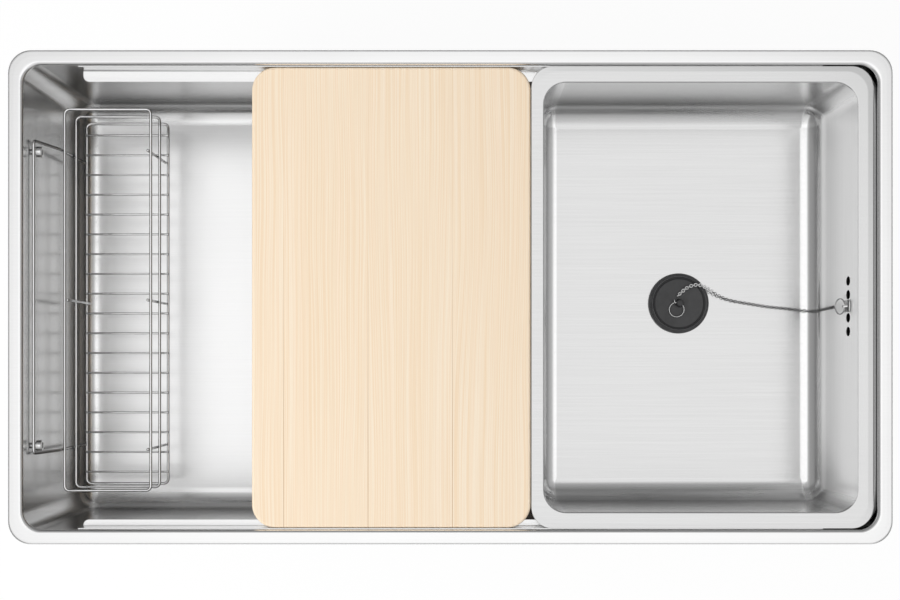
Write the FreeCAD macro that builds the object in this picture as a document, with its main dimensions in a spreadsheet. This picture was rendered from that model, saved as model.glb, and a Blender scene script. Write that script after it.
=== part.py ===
"""A workstation kitchen sink: a long steel bowl with ledge rails, a board, a sub-bowl, a rack and a drain.

Everything is in millimetres. The origin is the centre of the rim on the worktop plane, +X runs along the
sink to the right, +Y to the back wall and +Z up.
"""

import FreeCAD, Part

import math
import os
import re

import Sketcher

V = FreeCAD.Vector

SIZES = {
    # The main bowl, pressed from one sheet, with a rim that lies on the worktop
    "rim_length": 880,
    "rim_width": 492,
    "rim_corner": 23,
    "rim_land": 15,
    "rim_rise": 3,
    "rim_edge_lift": 0.2,
    "rim_edge_round": 2.6,
    "sheet": 1.2,
    "bowl_depth": 205,
    "bowl_corner": 19,
    "floor_round": 16,
    "mouth_round": 5,
    "seal_width": 7,
    "seal_wall_gap": 0.8,
    # The two ledge rails, folded strips on the long walls
    "rail_sheet": 1.2,
    "rail_reach_back": 12,
    "rail_reach_front": 7.5,
    "rail_length": 743,
    "rail_top_depth": 5.5,
    "shelf_depth": 24,
    "rail_corner": 6,
    # The board
    "board_length": 277.8,
    "board_thick": 20,
    "board_left": -197.8,
    "board_corner": 23,
    "board_edge_round": 2.5,
    "board_side_gap": 0.4,
    # The sub-bowl
    "board_to_tray_gap": 0.6,
    "tray_sheet": 1,
    "tray_corner": 22,
    "tray_margin_left": 12.4,
    "tray_margin_right": 15.5,
    "tray_margin_side": 16.3,
    "tray_wall_gap": 0.9,
    "tray_end_gap": 4.1,
    "tray_flange_corner": 21,
    "tray_depth": 127,
    "tray_floor_round": 23,
    "tray_mouth_round": 4,
    "plug_hole_radius": 24,
    "plug_collar": 5,
    "overflow_radius": 5,
    "overflow_depth": 36,
    "overflow_centre": -7.3,
    "overflow_inner": 11.8,
    "overflow_outer": 25.8,
    # The stopper and its rings
    "stopper_radius": 33,
    "stopper_edge": 3.2,
    "stopper_height": 7,
    "stopper_bevel": 3.2,
    "stopper_groove": 28,
    "stopper_dish": 1.4,
    "stopper_plug_gap": 0.4,
    "stopper_plug_height": 7,
    "stopper_plug_taper": 2,
    "stopper_boss_radius": 4,
    "stopper_boss_height": 7.4,
    "seat_gap": 0.3,
    "ring_radius": 7.95,
    "ring_wire": 1.6,
    "ring_bearing": 244.8,
    "ring_lift": 4.3,
    "ring_hole_radius": 2,
    "ring_tilt": 11.5,
    "end_ring_radius": 2.6,
    "end_ring_wire": 1,
    "end_ring_turn": 41,
    "link_gap": 0.1,
    # The chain and its fixing on the wall
    "eye_width": 12,
    "eye_height": 17,
    "eye_corner": 3,
    "eye_sheet": 1,
    "lug_reach": 4,
    "lug_height": 6,
    "lug_thick": 2,
    "lug_hole_reach": 1.8,
    "lug_hole_radius": 1.15,
    "rivet_radius": 1.8,
    "rivet_gap": 0.05,
    "rivet_head_radius": 3.2,
    "rivet_head_height": 1,
    "wall_ring_tilt": 18,
    "chain_width": 4,
    # The wire rack
    "rack_wire": 3,
    "rack_length": 407,
    "rack_width": 94.2,
    "rack_corner": 6.5,
    "weld_gap": 0.03,
    "rack_centre": -363.5,
    "rack_offset": 1.5,
    "rack_top_depth": 85,
    "rack_pitch": 40.5,
    "slat_wire": 2.2,
    "slat_pitch": 22.2,
    "slat_count": 18,
    "upright_offset": 158.5,
    "bar_to_wall": 3,
    "bar_depth": 25,
    "arm_straight": 8,
    "arm_bend": 4,
    # The studs that carry the rack
    "stud_offset": 149,
    "neck_radius": 3,
    "head_radius": 5.5,
    "head_length": 5.8,
    "head_chamfer": 1,
    "bar_head_gap": 0.3,
    "stud_thread_radius": 2.5,
    "stud_thread_length": 9,
    "stud_hole_gap": 0.05,
    "washer_radius": 6.5,
    "washer_thick": 1,
    "nut_width": 8,
    "nut_thick": 4,
    # The fixings under the worktop
    "worktop_thick": 30,
    "clip_count_long": 3,
    "clip_span_long": 600,
    "clip_offset_short": 190,
    "bracket_width": 24,
    "bracket_sheet": 2,
    "bracket_reach": 18,
    "bracket_drop": 26,
    "bracket_leg": 24,
    "bracket_hole_reach": 9.5,
    "screw_radius": 2.5,
    "screw_hole_gap": 0.05,
    "screw_head_radius": 5,
    "screw_head_height": 4,
    "screw_tail": 12,
    "foot_radius": 7,
    "foot_height": 5,
    "foot_socket": 2,
    # The damping pads
    "pad_thick": 2.5,
    "wall_pad_drop": 90,
    "wall_pad_height": 90,
    "wall_pad_length": 300,
    "wall_pad_spread": 200,
    "floor_pad_width": 320,
    "floor_pad_length": 330,
    "floor_pad_gap": 25,
    "pad_corner": 10,
    # The drain
    "drain_centre": 249,
    "seat_radius": 60,
    "seat_depth": 3,
    "drain_hole_radius": 45,
    "flange_radius": 56,
    "flange_thick": 1.6,
    "cup_radius": 43.5,
    "cup_wall": 2,
    "cup_height": 40,
    "cup_cone": 10,
    "spigot_radius": 23.5,
    "spigot_wall": 3,
    "spigot_length": 24,
    "gasket_thick": 3,
    "gasket_radius": 57,
    "friction_thick": 1,
    "lock_nut_height": 12,
    "lock_nut_radius": 54,
    "lock_nut_lug": 5,
    "lock_nut_lug_width": 14,
    "lock_nut_lugs": 6,
    "thread_gap": 0.05,
    "washer_gap": 0.5,
    "seat_cone_reach": 3,
    "seat_cone_drop": 2,
    "basket_gap": 0.8,
    "basket_sheet": 1,
    "basket_depth": 26,
    "basket_taper": 5,
    "basket_lip": 1.2,
    "basket_hole_radius": 2.5,
    "basket_hole_circle": 27,
    "basket_holes": 12,
    "basket_seal_radius": 22,
    "basket_seal_thick": 4,
    "knob_post_radius": 3,
    "knob_post_height": 20,
    "knob_radius": 8,
    "knob_height": 7,
    "tail_radius": 20,
    "tail_wall": 1.4,
    "tail_length": 80,
    "tail_flange": 2,
    "tail_washer": 2,
    "slip_nut_width": 58,
    "slip_nut_height": 24,
    "slip_nut_floor": 3,
    "slip_nut_gap": 1.2,
}

# Places and lengths that follow from the sizes above
DERIVED = {
    "mouth_length": "rim_length - 2 * rim_land",
    "mouth_width": "rim_width - 2 * rim_land",
    "floor_top": "rim_rise - bowl_depth",
    "floor_under": "floor_top - sheet",
    "seat_top": "floor_top - seat_depth",
    "seat_under": "seat_top - sheet",
    "shelf_top": "rim_rise - shelf_depth",
    "board_width": "mouth_width - 2 * rail_sheet - 2 * board_side_gap",
    "board_right": "board_left + board_length",
    "tray_left": "board_right + board_to_tray_gap",
    "tray_length": "mouth_length / 2 - tray_end_gap - tray_left",
    "tray_width": "mouth_width - 2 * tray_wall_gap",
    "tray_opening_length": "tray_length - tray_margin_left - tray_margin_right",
    "tray_opening_width": "tray_width - 2 * tray_margin_side",
    "tray_centre": "tray_left + tray_margin_left + tray_opening_length / 2",
    "tray_flange_shift": "(tray_margin_right - tray_margin_left) / 2",
    "tray_floor_top": "0 - tray_depth",
    "tray_floor_under": "tray_floor_top - tray_sheet",
    "tray_wall": "tray_centre + tray_opening_length / 2",
    "overflow_height": "rim_rise - overflow_depth",
    "stopper_top": "tray_floor_top + stopper_height",
    "stopper_dish_top": "stopper_top - stopper_dish",
    "ring_height": "stopper_dish_top + ring_lift",
    "rack_left": "rack_centre - rack_width / 2 + rack_wire / 2",
    "rack_right": "rack_centre + rack_width / 2 - rack_wire / 2",
    "rack_top": "rim_rise - rack_top_depth",
    "rack_bottom": "rack_top - 2 * rack_pitch",
    "bar_height": "rim_rise - bar_depth",
    "bar_place": "bar_to_wall - mouth_length / 2",
    "stud_height": "bar_height - rack_wire / 2 - neck_radius - seat_gap",
    "neck_length": "bar_to_wall + rack_wire / 2 + bar_head_gap",
    "bracket_top": "0 - worktop_thick - bracket_drop",
    "outer_face": "mouth_width / 2 + sheet",
    "end_face": "mouth_length / 2 + sheet",
    "seal_start": "mouth_round + seal_wall_gap",
    "pad_top": "0 - wall_pad_drop",
    "cup_inner": "cup_radius - cup_wall",
    "cup_corner": "seat_top - cup_height",
    "cup_floor": "cup_corner - cup_cone",
    "spigot_bore": "spigot_radius - spigot_wall",
    "spigot_end": "cup_floor - spigot_length",
    "gasket_under": "seat_under - gasket_thick",
    "friction_under": "gasket_under - friction_thick",
    "cone_slope": "(flange_thick + seat_cone_drop) / seat_cone_reach",
    "basket_rest": "seat_top - seat_cone_drop + basket_lip * cone_slope + seat_gap",
    "basket_floor": "basket_rest - basket_depth",
    "basket_side": "cup_inner - basket_gap",
    "tail_top": "spigot_end - tail_washer",
    "slip_nut_under": "tail_top - tail_flange - slip_nut_floor",
}

# The chain's own points, from the wall ring to the stopper: the share of the way from the middle of the
# sub-bowl to its wall, then the way across and the height above its floor
CHAIN_RUN = [
    (0.9501, -7.3, 77.5),
    (0.9488, -7.6, 60.0),
    (0.9456, -8.2, 42.5),
    (0.9398, -8.9, 26.0),
    (0.9091, -9.2, 10.0),
    (0.8342, -7.2, 2.6),
    (0.7382, -5.4, 2.3),
    (0.6325, -4.1, 2.4),
    (0.5237, -1.2, 2.3),
    (0.4213, 1.3, 2.4),
    (0.338, 3.9, 2.6),
    (0.2644, 8.8, 5.4),
    (0.2311, 12.16, 7.48),
]
CHAIN_DRAPE = [
    (0.2311, 12.16, 7.48),
    (0.1812, 17.2, 10.6),
    (0.1229, 20.4, 11.0),
    (0.0666, 18.4, 10.0),
    (0.0179, 13.2, 9.6),
    (-0.0179, 7.3, 9.6),
]

doc = FreeCAD.newDocument("WorkstationSink")
sheet = doc.addObject("Spreadsheet::Sheet", "Sizes")
for row, (alias, number) in enumerate(SIZES.items(), start=1):
    sheet.set(f"A{row}", alias)
    sheet.set(f"B{row}", str(number))
    sheet.setAlias(f"B{row}", alias)
doc.recompute()

SUB_PARTS = []


def expand(expression):
    """The expression with each derived name written out in sizes."""
    while True:
        longer = re.sub(
            r"[a-z_]+", lambda word: f"({DERIVED[word[0]]})" if word[0] in DERIVED else word[0], expression
        )
        if longer == expression:
            return expression
        expression = longer


def bound(expression):
    """The expression as another object's property states it, with each size named in the sheet."""
    return re.sub(
        r"[a-z_]+", lambda word: f"Sizes.{word[0]}" if word[0] in SIZES else word[0], expand(expression)
    )


def size(expression):
    """The number that an expression has now."""
    return float(sheet.evalExpression(expand(str(expression))))


def bind(thing, **expressions):
    """Ties properties of an object to expressions; an underscore in the key stands for a dot."""
    for name, expression in expressions.items():
        thing.setExpression(name.replace("__", "."), bound(expression))


def place(thing, x="0", y="0", z="0"):
    """Puts an object at a point given as expressions."""
    bind(thing, Placement__Base__x=x, Placement__Base__y=y, Placement__Base__z=z)
    return thing


def sub_part(thing, label):
    """Names an object as a piece of its own and keeps it for the export."""
    thing.Label = label
    SUB_PARTS.append(thing)
    return thing


def new_body(label):
    return sub_part(doc.addObject("PartDesign::Body", label), label)


def sketch_on(body, name, role="XY_Plane", height="0"):
    """An empty sketch on one of the body's own planes, moved along the plane's normal."""
    sketch = body.newObject("Sketcher::SketchObject", name)
    plane = next(item for item in body.Origin.OriginFeatures if item.Role == role)
    sketch.AttachmentSupport = [(plane, "")]
    sketch.MapMode = "FlatFace"
    bind(sketch, AttachmentOffset__Base__z=height)
    return sketch


def tie(sketch, kind, *places, expression):
    """Adds a dimension to a sketch and ties it to an expression."""
    number = sketch.addConstraint(Sketcher.Constraint(kind, *places, size(expression)))
    sketch.setExpression(f"Constraints[{number}]", bound(expression))


def polygon(sketch, points):
    """A closed outline through points, each of which is a pair of expressions."""
    at = [V(size(x), size(y), 0) for x, y in points]
    count = len(points)
    for i in range(count):
        sketch.addGeometry(Part.LineSegment(at[i], at[(i + 1) % count]))
    for i in range(count):
        sketch.addConstraint(Sketcher.Constraint("Coincident", i, 2, (i + 1) % count, 1))
    for i, (x, y) in enumerate(points):
        tie(sketch, "DistanceX", -1, 1, i, 1, expression=x)
        tie(sketch, "DistanceY", -1, 1, i, 1, expression=y)
    return sketch


def rounded_rectangle(sketch, length, width, corner, x="0", y="0"):
    """A rounded rectangle about the point (x, y): four sides joined by four tangent arcs."""
    half_l, half_w, r = size(length) / 2, size(width) / 2, size(corner)
    cx, cy = size(x), size(y)
    ends = [(-1, -1), (1, -1), (1, 1), (-1, 1)]
    for i, (sx, sy) in enumerate(ends):
        nx, ny = ends[(i + 1) % 4]
        along = V((nx - sx) / 2, (ny - sy) / 2, 0) * r
        start = V(cx + sx * half_l, cy + sy * half_w, 0) + along
        stop = V(cx + nx * half_l, cy + ny * half_w, 0) - along
        sketch.addGeometry(Part.LineSegment(start, stop))
    for i, (sx, sy) in enumerate(ends):
        nx, ny = ends[(i + 1) % 4]
        centre = V(cx + nx * (half_l - r), cy + ny * (half_w - r), 0)
        first = math.pi / 2 * (i - 1)
        circle = Part.Circle(centre, V(0, 0, 1), r)
        sketch.addGeometry(Part.ArcOfCircle(circle, first, first + math.pi / 2))
    for i in range(4):
        sketch.addConstraint(Sketcher.Constraint("Tangent", i, 2, 4 + i, 1))
        sketch.addConstraint(Sketcher.Constraint("Tangent", 4 + i, 2, (i + 1) % 4, 1))
    for i, direction in enumerate(("Horizontal", "Vertical", "Horizontal", "Vertical")):
        sketch.addConstraint(Sketcher.Constraint(direction, i))
    for i in range(5, 8):
        sketch.addConstraint(Sketcher.Constraint("Equal", 4, i))
    tie(sketch, "Radius", 4, expression=corner)
    tie(sketch, "DistanceY", -1, 1, 0, 1, expression=f"{y} - ({width}) / 2")
    tie(sketch, "DistanceX", -1, 1, 1, 1, expression=f"{x} + ({length}) / 2")
    tie(sketch, "DistanceY", -1, 1, 2, 1, expression=f"{y} + ({width}) / 2")
    tie(sketch, "DistanceX", -1, 1, 3, 1, expression=f"{x} - ({length}) / 2")
    return sketch


def circle(sketch, radius, x="0", y="0"):
    """A circle in a sketch, about the point (x, y)."""
    number = sketch.addGeometry(Part.Circle(V(size(x), size(y), 0), V(0, 0, 1), size(radius)))
    tie(sketch, "Radius", number, expression=radius)
    tie(sketch, "DistanceX", -1, 1, number, 3, expression=x)
    tie(sketch, "DistanceY", -1, 1, number, 3, expression=y)
    return sketch


def extrude(body, kind, sketch, length, down=True):
    """A pad or a pocket of a sketch, which must change the body's volume."""
    doc.recompute()
    before = body.Shape.Volume if body.Tip else 0
    feature = body.newObject(f"PartDesign::{kind}", kind + sketch.Name)
    feature.Profile = sketch
    feature.Reversed = down if kind == "Pad" else not down
    bind(feature, Length=length)
    doc.recompute()
    if abs(body.Shape.Volume - before) < 1e-6:
        raise ValueError(f"{feature.Name} changes nothing")
    return feature


def pad(body, sketch, length, down=True):
    return extrude(body, "Pad", sketch, length, down)


def pocket(body, sketch, length, down=True):
    return extrude(body, "Pocket", sketch, length, down)


def revolve(body, name, points, kind="Revolution", role="XZ_Plane"):
    """A turned form: an outline of (radius, height) pairs carried about the body's Z axis."""
    sketch = polygon(sketch_on(body, name, role), points)
    feature = body.newObject(f"PartDesign::{kind}", kind + name)
    feature.Profile = sketch
    feature.ReferenceAxis = (sketch, ["V_Axis"])
    feature.Angle = 360
    doc.recompute()
    return feature


def turned(label, points, x="0", y="0", z="0"):
    """A sub-part that is one turned form about a vertical axis."""
    body = new_body(label)
    revolve(body, label + "_outline", points)
    return place(body, x, y, z)


def ring_edges(shape, height, length, width, x="0", y="0"):
    """Names of the edges of a rounded rectangle of this size that lie at this height."""
    level, half_l, half_w = size(height), size(length) / 2, size(width) / 2
    cx, cy = size(x), size(y)
    found = []
    for number, edge in enumerate(shape.Edges, start=1):
        box = edge.BoundBox
        flat = abs(box.ZMin - level) < 1e-3 and abs(box.ZMax - level) < 1e-3
        over_l = max(box.XMax - cx, cx - box.XMin) - half_l
        over_w = max(box.YMax - cy, cy - box.YMin) - half_w
        if flat and max(over_l, over_w) < 1e-3 and max(over_l, over_w) > -1e-3:
            found.append(f"Edge{number}")
    return found


def fillet(body, radius, height, length, width, x="0", y="0"):
    """Rounds one rounded rectangle of edges of a body."""
    doc.recompute()
    base = body.Tip
    names = ring_edges(base.Shape, height, length, width, x, y)
    feature = body.newObject("PartDesign::Fillet", "Round")
    feature.Base = (base, names)
    bind(feature, Radius=radius)
    doc.recompute()
    return feature


def group(label, members):
    """One sub-part of several separate solids."""
    compound = doc.addObject("Part::Compound", label)
    compound.Links = members
    return sub_part(compound, label)


def cylinder(name, radius, length, turn=None):
    """A cylinder along Z, or turned by a rotation."""
    made = doc.addObject("Part::Cylinder", name)
    bind(made, Radius=radius, Height=length)
    if turn:
        made.Placement.Rotation = turn
    return made


ALONG_X = FreeCAD.Rotation(V(0, 1, 0), 90)


def make_main_bowl():
    """The bowl: a deep pressing with a rim that turns down at its edge, and a stamped seat for the drain."""
    body = new_body("main_bowl")
    outer_l, outer_w = "mouth_length + 2 * sheet", "mouth_width + 2 * sheet"
    rim = sketch_on(body, "Rim", height="rim_rise")
    rounded_rectangle(rim, "rim_length", "rim_width", "rim_corner")
    pad(body, rim, "rim_rise - rim_edge_lift")
    fillet(body, "rim_edge_round", "rim_rise", "rim_length", "rim_width")
    hollow = rounded_rectangle(
        sketch_on(body, "RimHollow"), "rim_length - 2 * sheet", "rim_width - 2 * sheet", "rim_corner - sheet"
    )
    pocket(body, hollow, "rim_rise - sheet", down=False)
    shell = sketch_on(body, "Shell", height="rim_rise")
    rounded_rectangle(shell, outer_l, outer_w, "bowl_corner + sheet")
    pad(body, shell, "bowl_depth + sheet")
    cavity = sketch_on(body, "Cavity", height="rim_rise")
    rounded_rectangle(cavity, "mouth_length", "mouth_width", "bowl_corner")
    pocket(body, cavity, "bowl_depth")
    fillet(body, "floor_round", "floor_top", "mouth_length", "mouth_width")
    fillet(body, "floor_round + sheet", "floor_under", outer_l, outer_w)
    fillet(body, "mouth_round - sheet", "rim_rise - sheet", outer_l, outer_w)
    fillet(body, "mouth_round", "rim_rise", "mouth_length", "mouth_width")
    seat = sketch_on(body, "SeatUnder", height="floor_under")
    pad(body, circle(seat, "seat_radius + sheet", x="drain_centre"), "seat_depth")
    dish = circle(sketch_on(body, "SeatDish", height="floor_top"), "seat_radius", x="drain_centre")
    pocket(body, dish, "seat_depth")
    hole = circle(sketch_on(body, "DrainHole", height="seat_top"), "drain_hole_radius", x="drain_centre")
    pocket(body, hole, "2 * sheet")
    for side in (-1, 1):
        stud = sketch_on(body, "StudHole", "YZ_Plane", "0 - mouth_length / 2 + sheet")
        circle(stud, "stud_thread_radius + stud_hole_gap", x=f"{side} * stud_offset", y="stud_height")
        pocket(body, stud, "3 * sheet")


def make_rim_seal():
    """The foam strip under the rim, which carries the sink on the worktop."""
    body = new_body("rim_seal")
    inner_l, inner_w = "mouth_length + 2 * seal_start", "mouth_width + 2 * seal_start"
    strip = sketch_on(body, "Strip", height="rim_rise - sheet")
    outer_l, outer_w = f"{inner_l} + 2 * seal_width", f"{inner_w} + 2 * seal_width"
    rounded_rectangle(strip, outer_l, outer_w, "rim_corner - sheet - seal_wall_gap")
    pad(body, strip, "rim_rise - sheet")
    inside = sketch_on(body, "Inside", height="rim_rise - sheet")
    pocket(body, rounded_rectangle(inside, inner_l, inner_w, "bowl_corner"), "rim_rise - sheet")


def make_ledge_rails():
    """Two folded strips, one for each long wall: a leg on the wall and a shelf with rounded free corners."""
    for label, side, reach in (
        ("ledge_rail_back", 1, "rail_reach_back"),
        ("ledge_rail_front", -1, "rail_reach_front"),
    ):
        body = new_body(label)
        section = sketch_on(body, label + "_section", "YZ_Plane", "0 - rail_length / 2")
        wall, leg = f"{side} * mouth_width / 2", f"{side} * (mouth_width / 2 - rail_sheet)"
        lip = f"{side} * (mouth_width / 2 - {reach})"
        top, shelf, under = "rim_rise - rail_top_depth", "shelf_top", "shelf_top - rail_sheet"
        polygon(section, [(wall, top), (wall, under), (lip, under), (lip, shelf), (leg, shelf), (leg, top)])
        pad(body, section, "rail_length", down=False)
        corners = [
            f"Edge{number}"
            for number, edge in enumerate(body.Shape.Edges, start=1)
            if abs(edge.BoundBox.YMin - size(lip)) < 1e-3
            and abs(edge.BoundBox.YMax - size(lip)) < 1e-3
            and edge.BoundBox.ZLength > size("rail_sheet") / 2
        ]
        base = body.Tip
        feature = body.newObject("PartDesign::Fillet", "FreeCorners")
        feature.Base = (base, corners)
        bind(feature, Radius="rail_corner")
        doc.recompute()


def make_cutting_board():
    body = new_body("cutting_board")
    middle = "board_left + board_length / 2"
    outline = sketch_on(body, "Outline", height="shelf_top")
    rounded_rectangle(outline, "board_length", "board_width", "board_corner", x=middle)
    pad(body, outline, "board_thick", down=False)
    for height in ("shelf_top + board_thick", "shelf_top"):
        fillet(body, "board_edge_round", height, "board_length", "board_width", x=middle)


def make_sub_bowl():
    """The sub-bowl: a flange whose turned-down skirt stands on the shelves, and a bowl with a plug hole."""
    body = new_body("sub_bowl")
    shift = "tray_flange_shift"
    outer_l, outer_w = "tray_opening_length + 2 * tray_sheet", "tray_opening_width + 2 * tray_sheet"
    flange = sketch_on(body, "Flange")
    rounded_rectangle(flange, "tray_length", "tray_width", "tray_flange_corner", x=shift)
    pad(body, flange, "tray_sheet")
    skirt = sketch_on(body, "Skirt", height="0 - tray_sheet / 2")
    rounded_rectangle(skirt, "tray_length", "board_width", "tray_flange_corner", x=shift)
    pad(body, skirt, "0 - shelf_top - tray_sheet / 2")
    inside = sketch_on(body, "SkirtInside", height="shelf_top")
    skirt_l, skirt_w = "tray_length - 2 * tray_sheet", "board_width - 2 * tray_sheet"
    rounded_rectangle(inside, skirt_l, skirt_w, "tray_flange_corner - tray_sheet", x=shift)
    pocket(body, inside, "0 - shelf_top - tray_sheet", down=False)
    shell = rounded_rectangle(sketch_on(body, "TrayShell"), outer_l, outer_w, "tray_corner + tray_sheet")
    pad(body, shell, "tray_depth + tray_sheet")
    cavity = rounded_rectangle(
        sketch_on(body, "TrayCavity"), "tray_opening_length", "tray_opening_width", "tray_corner"
    )
    pocket(body, cavity, "tray_depth")
    fillet(body, "tray_floor_round", "tray_floor_top", "tray_opening_length", "tray_opening_width")
    fillet(body, "tray_floor_round + tray_sheet", "tray_floor_under", outer_l, outer_w)
    fillet(body, "tray_mouth_round - tray_sheet", "0 - tray_sheet", outer_l, outer_w)
    fillet(body, "tray_mouth_round", "0", "tray_opening_length", "tray_opening_width")
    collar = circle(sketch_on(body, "Collar", height="tray_floor_under"), "plug_hole_radius + tray_sheet")
    pad(body, collar, "plug_collar")
    hole = circle(sketch_on(body, "PlugHole", height="tray_floor_top"), "plug_hole_radius")
    pocket(body, hole, "plug_collar + 2 * tray_sheet")
    overflow = sketch_on(body, "Overflow", "YZ_Plane", "tray_opening_length / 2 - tray_sheet")
    for offset in ("-overflow_outer", "-overflow_inner", "overflow_inner", "overflow_outer"):
        circle(overflow, "overflow_radius", x=f"overflow_centre + ({offset})", y="overflow_height")
    pocket(body, overflow, "3 * tray_sheet", down=False)
    eye = sketch_on(body, "RivetHole", "YZ_Plane", "tray_opening_length / 2 - tray_sheet")
    circle(eye, "rivet_radius", x="overflow_centre", y="overflow_height")
    pocket(body, eye, "3 * tray_sheet", down=False)
    place(body, x="tray_centre")


def ring_direction():
    """The way from the boss to the middle of the ring, which hangs down from the boss to the plug's top."""
    bearing, tilt = math.radians(size("ring_bearing")), math.radians(size("ring_tilt"))
    return V(math.cos(bearing) * math.cos(tilt), math.sin(bearing) * math.cos(tilt), -math.sin(tilt))


def stopper_ring_place(boss):
    """Where the ring lies whose wire passes through the point boss."""
    away = ring_direction()
    across = V(0, 0, 1).cross(away).normalize()
    turn = FreeCAD.Rotation(V(0, 0, 1), away.cross(across))
    return FreeCAD.Placement(boss + away * size("ring_radius"), turn)


def make_stopper():
    """The rubber plug: a bevelled disc with a dished top, a groove, a boss and a tapered plug below."""
    body = new_body("stopper")
    plug = "plug_hole_radius - stopper_plug_gap"
    revolve(
        body,
        "StopperOutline",
        [
            ("0", "stopper_height - stopper_dish"),
            ("0", "seat_gap - stopper_plug_height"),
            (f"{plug} - stopper_plug_taper", "seat_gap - stopper_plug_height"),
            (plug, "seat_gap - stopper_plug_height / 2"),
            (plug, "seat_gap"),
            ("stopper_radius", "seat_gap"),
            ("stopper_radius", "stopper_edge"),
            ("stopper_radius - stopper_bevel", "stopper_height"),
            ("stopper_groove + stopper_dish", "stopper_height"),
            ("stopper_groove", "stopper_height - stopper_dish"),
        ],
    )
    boss = circle(sketch_on(body, "Boss", height="stopper_height - stopper_dish"), "stopper_boss_radius")
    pad(body, boss, "stopper_boss_height", down=False)
    bore = body.newObject("PartDesign::SubtractiveCylinder", "RingHole")
    bind(bore, Radius="ring_hole_radius", Height="4 * stopper_boss_radius")
    across = V(0, 0, 1).cross(ring_direction()).normalize()
    start = V(0, 0, size("ring_height - tray_floor_top")) - across * size("2 * stopper_boss_radius")
    bore.Placement = FreeCAD.Placement(start, FreeCAD.Rotation(V(0, 0, 1), across))
    place(body, x="tray_centre", z="tray_floor_top")


def torus(label, radius, wire, at):
    """A closed ring of round wire, which is a sub-part of its own."""
    made = doc.addObject("Part::Torus", label)
    bind(made, Radius1=radius, Radius2=wire)
    made.Placement = at
    return sub_part(made, label)


def make_stopper_rings():
    """The ring that passes through the boss, and the small ring that joins it to the chain."""
    at = stopper_ring_place(V(size("tray_centre"), 0, size("ring_height")))
    torus("stopper_ring", "ring_radius", "ring_wire / 2", at)
    axis = at.Rotation.multVec(V(0, 0, 1))
    outward = FreeCAD.Rotation(axis, size("end_ring_turn")).multVec(ring_direction() * -1)
    along = axis.cross(outward)
    reach = size("ring_radius + end_ring_radius - end_ring_wire / 2 - ring_wire / 2 - link_gap")
    linked = FreeCAD.Placement(at.Base + outward * reach, FreeCAD.Rotation(V(0, 0, 1), along))
    torus("chain_end_ring", "end_ring_radius", "end_ring_wire / 2", linked)


def make_chain_eye():
    """The riveted plate with a lug, and the ring that hangs in the lug's hole."""
    body = new_body("chain_eye")
    plate = sketch_on(body, "Plate", "YZ_Plane")
    pad(body, rounded_rectangle(plate, "eye_width", "eye_height", "eye_corner"), "eye_sheet")
    lug = sketch_on(body, "Lug", "XZ_Plane", "lug_thick / 2")
    root, tip = "0 - eye_sheet / 2", "0 - eye_sheet - lug_reach"
    polygon(
        lug,
        [
            (root, "0 - lug_height / 2"),
            (root, "lug_height / 2"),
            (tip, "lug_height / 4"),
            (tip, "0 - lug_height / 4"),
        ],
    )
    pad(body, lug, "lug_thick")
    hole = sketch_on(body, "LugHole", "XZ_Plane", "lug_thick")
    pocket(body, circle(hole, "lug_hole_radius", x="0 - eye_sheet - lug_hole_reach"), "2 * lug_thick")
    rivet = circle(sketch_on(body, "Rivet", "YZ_Plane"), "rivet_radius - rivet_gap")
    pad(body, rivet, "tray_sheet + rivet_head_height", down=False)
    head = circle(sketch_on(body, "RivetHead", "YZ_Plane", "tray_sheet"), "rivet_head_radius")
    pad(body, head, "rivet_head_height", down=False)
    place(body, x="tray_wall", y="overflow_centre", z="overflow_height")
    tilt = math.radians(size("wall_ring_tilt"))
    top = V(size("tray_wall - eye_sheet - lug_hole_reach"), size("overflow_centre"), size("overflow_height"))
    hang = V(-math.sin(tilt), 0, -math.cos(tilt))
    turn = FreeCAD.Rotation(V(0, 0, 1), V(0, 1, 0).cross(hang))
    at = FreeCAD.Placement(top + hang * size("ring_radius"), turn)
    torus("chain_wall_ring", "ring_radius", "ring_wire / 2", at)


def bent_path(points, radius=None):
    """Straight runs joined by tangent arcs, and the least arc radius.

    Without a radius each arc is as large as its two runs allow: 0.45 of the shorter run over the tangent of
    half the turn.
    """
    edges, radii, start = [], [], points[0]
    for before, corner, after in zip(points, points[1:], points[2:]):
        way_in, way_out = (corner - before).normalize(), (after - corner).normalize()
        half_turn = way_in.getAngle(way_out) / 2
        shorter = min(corner.distanceToPoint(before), corner.distanceToPoint(after))
        bend = radius or 0.45 * shorter / math.tan(half_turn)
        reach = bend * math.tan(half_turn)
        first, last = corner - way_in * reach, corner + way_out * reach
        inward = (way_out - way_in).normalize()
        middle = corner + inward * (bend / math.cos(half_turn) - bend)
        edges.append(Part.LineSegment(start, first).toShape())
        edges.append(Part.Arc(first, middle, last).toShape())
        radii.append(bend)
        start = last
    edges.append(Part.LineSegment(start, points[-1]).toShape())
    return Part.Wire(edges), min(radii)


def round_tube(label, points, diameter, radius=None):
    """A sub-part that is a round bar or cord along a bent path."""
    path, least = bent_path(points, radius)
    first = (points[1] - points[0]).normalize()
    ring = Part.Wire(Part.Circle(points[0], first, diameter / 2).toShape())
    made = doc.addObject("Part::Feature", label)
    made.Shape = path.makePipeShell([ring], True, False)
    share = made.Shape.Volume / (math.pi * diameter**2 / 4 * path.Length)
    print(f"{label}: length {path.Length:.1f}, least radius {least:.1f}, volume share {share:.4f}")
    return sub_part(made, label)


def make_chain():
    """The two stretches of the chain: from the wall ring over the floor, and over the stopper."""
    middle, half, floor = size("tray_centre"), size("tray_opening_length / 2"), size("tray_floor_top")
    for label, route in (("chain_run", CHAIN_RUN), ("chain_drape", CHAIN_DRAPE)):
        points = [V(middle + share * half, y, floor + z) for share, y, z in route]
        round_tube(label, points, size("chain_width"))


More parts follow.
